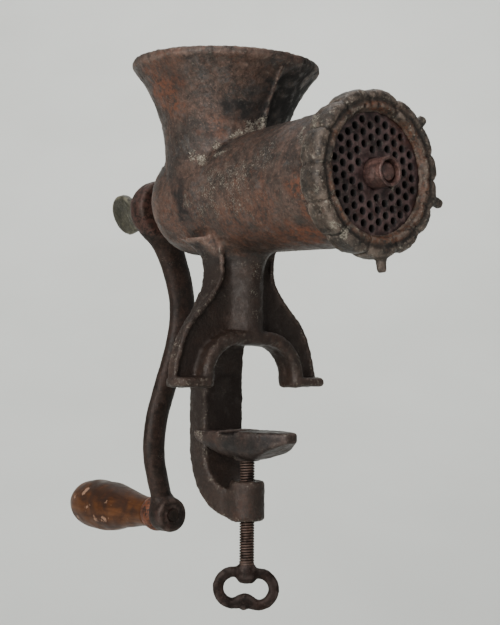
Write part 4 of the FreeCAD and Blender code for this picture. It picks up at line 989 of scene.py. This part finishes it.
def screw_thread():
    """The clamp screw: a true helix along its shank, which runs out at both ends."""
    low, high = extent("clamp_screw")
    pitch, major, depth = 1.411, 3.95, 0.8
    shoulder = -30.0
    rows, segments = 560, 48
    heights = np.linspace(low[2], shoulder, rows)
    points = []
    for height in heights:
        fade = smooth_step(min(height - low[2] - 3.0, shoulder - height), 0.0, 1.2)
        for number in range(segments):
            angle = FULL_TURN * number / segments
            phase = (height / pitch - angle / FULL_TURN) % 1.0
            tooth = abs(2 * phase - 1)
            points.append((major - depth * fade * (1 - min(1.0, tooth * 1.75)), angle, height))
    core = 0.05
    ends = ((2.9, shoulder), (2.9, high[2] - 0.8), (2.2, high[2]), (core, high[2]), (core, low[2]))
    points += [(radius, FULL_TURN * number / segments, height)
               for radius, height in ends for number in range(segments)]
    flat = [(radius * math.cos(angle) * MM, radius * math.sin(angle) * MM, height * MM)
            for radius, angle, height in points]
    piece = new_mesh("threaded_screw", flat, ring_faces(len(flat) // segments, segments), SCREW_STEEL)
    depths = np.clip((major - np.array([radius for radius, angle, height in points])) / depth, 0, 1)
    # Painted shade in the thread's roots, marked as hollow; the crests, marked as edges, are lightened
    # for wear and painted highlight.
    mark(piece, "hollow", depths ** 1.5)
    mark(piece, "edge", np.clip(1 - 3 * depths, 0, 1) * 0.8)
    place(piece, "clamp", "screw_steel", "clamp_screw")


def clamp_key():
    """The looped key, shaped in its own plane and then turned about the screw."""
    about_screw, half_thick = math.radians(38.0), 2.8
    s = Space((-20.0, -7.0, -119.0), (20.0, 7.0, -90.5), 0.42)
    lean = math.radians(4.0)
    centre_x, centre_z = -0.3, -105.0
    across = (s.x - centre_x) * math.cos(lean) - (s.z - centre_z) * math.sin(lean)
    up = (s.x - centre_x) * math.sin(lean) + (s.z - centre_z) * math.cos(lean)
    side = np.abs(across)
    outer = np.hypot(side - 6.5, up) - 10.9
    outer = union(outer, np.maximum(side - 8.0, np.abs(up + 0.2) - 9.3), 2.0)
    bump = np.hypot(across + 0.4, up + 8.4) - 2.95
    outer = union(outer, bump, 0.9)
    inner = np.hypot(side - 6.3, up) - 5.5
    inner = union(inner, np.maximum(side - 6.0, np.abs(up) - 3.4), 2.5)
    hump = np.hypot(across, up + 9.8) - 6.9
    nub = np.hypot(s.x, s.z + 97.2) - 5.0
    inner = minus(minus(inner, hump, 2.0), nub, 1.6)
    flat = minus(outer, inner, 0.6)
    loop = rounded(flat, np.abs(s.y) - half_thick, 2.3)
    neck_radius = np.interp(s.z, (-101.0, -98.6, -95.5, -92.0), (4.3, 5.6, 5.2, 4.3)).astype(np.float32)
    neck = common(np.hypot(s.x, s.y) - neck_radius, np.maximum(s.z + 91.9, -101.8 - s.z), 1.6)
    body = union(loop, neck, 1.8)
    body = minus(body, np.maximum(np.hypot(s.x, s.y) - 4.0, -94.9 - s.z), 0.2)
    spots = {"rust": ((-10, 0, -103, 5, 0.4), (9, 0, -112, 6, 0.3))}
    turn = Matrix.Rotation(-about_screw, 4, "Z")
    piece = cast("looped_key", s, body, KEY_IRON, rough=0.08, grain=4.0, turn=turn, spots=spots)
    place(piece, "clamp", "clamp_iron", "clamp_key")


def dress_hidden_nodes():
    """Nodes that stay as CAD made them get an aged metal of their own."""
    hidden = {"plate_locating_stub": IRON, "cutter_knife": PLATE_STEEL, "feed_screw": IRON,
              "thrust_washer": PLATE_STEEL, "handle_pin": CRANK_IRON, "grip_washer": SCREW_STEEL,
              "pad_washer": SCREW_STEEL}
    for node, material in hidden.items():
        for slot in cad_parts[node].material_slots:
            slot.material = material


# ---- stage, light and camera

def sweep():
    """A pale floor that curves up into a pale backdrop."""
    floor_z, reach, bend = -0.42, 3.4, 3.5
    profile = [(-2.5, floor_z), (reach - bend, floor_z)]
    profile += [(reach - bend + bend * math.sin(t), floor_z + bend - bend * math.cos(t))
                for t in np.linspace(0.05, math.pi / 2, 24)]
    profile.append((reach, 4.0))
    turn = Matrix.Rotation(-math.radians(39.2), 3, "Z")
    points, faces = [], []
    for side in (-3.5, 3.5):
        points += [tuple(turn @ Vector((side, y, z))) for y, z in profile]
    count = len(profile)
    for number in range(count - 1):
        faces.append((number, number + 1, count + number + 1, count + number))
    stage = new_mesh("backdrop", points, faces, floor_paint("pale_paint"))


def area_light(name, place_at, target, size, power, colour):
    """A rectangular lamp of that size in metres and power in watts, aimed at a target."""
    light = bpy.data.lights.new(name, "AREA")
    light.shape = "RECTANGLE"
    light.size, light.size_y = size
    light.energy = power
    light.color = colour
    lamp = bpy.data.objects.new(name, light)
    lamp.location = place_at
    direction = Vector(target) - Vector(place_at)
    lamp.rotation_euler = direction.to_track_quat("-Z", "Y").to_euler()
    add_to_scene(lamp)


def lights():
    """A soft window on the left, two weak fills, a wash for the backdrop, and a pale sky."""
    centre = (0.0, 0.0, 0.05)
    area_light("window", (-1.35, -0.55, 0.45), centre, (0.9, 1.3), 34, (1.0, 0.985, 0.96))
    area_light("front_fill", (0.0, -2.0, 0.7), centre, (1.4, 1.0), 6, (0.97, 0.98, 1.0))
    area_light("top_soft", (0.1, 0.3, 1.8), centre, (1.4, 1.4), 8, (0.98, 0.99, 1.0))
    area_light("backdrop_wash", (0.75, 0.9, 2.3), (1.9, 2.4, 0.2), (2.4, 1.0), 60, (1.0, 1.0, 0.985))
    world = bpy.data.worlds.new("studio")
    world.use_nodes = True
    background = world.node_tree.nodes["Background"]
    background.inputs["Color"].default_value = (0.96, 0.955, 0.94, 1)
    background.inputs["Strength"].default_value = 0.32
    bpy.context.scene.world = world


def camera():
    """A view from the left front, from a little below the barrel."""
    azimuth, elevation, roll = math.radians(-39.18), math.radians(-2.60), math.radians(0.37)
    forward = Vector((-math.sin(azimuth) * math.cos(elevation), math.cos(azimuth) * math.cos(elevation),
                      -math.sin(elevation)))
    right = Vector((math.cos(azimuth), math.sin(azimuth), 0))
    up = right.cross(forward)
    leaned_right = right * math.cos(roll) + up * math.sin(roll)
    leaned_up = up * math.cos(roll) - right * math.sin(roll)
    data = bpy.data.cameras.new("view")
    data.sensor_width = 36.0
    data.lens = 73.63
    data.shift_x = -0.0135
    data.shift_y = 0.0029
    seen_from = bpy.data.objects.new("view", data)
    axes = Matrix((leaned_right, leaned_up, -forward)).transposed().to_4x4()
    seen_from.matrix_world = Matrix.Translation((-0.42304, -0.52752, 0.00817)) @ axes
    add_to_scene(seen_from)
    bpy.context.scene.camera = seen_from


for make in (casting, ring_nut, plate, bush_and_stud, crank, thumbscrew, collar, grip, clamp_pad,
             screw_thread, clamp_key, dress_hidden_nodes, sweep, lights, camera):
    make()
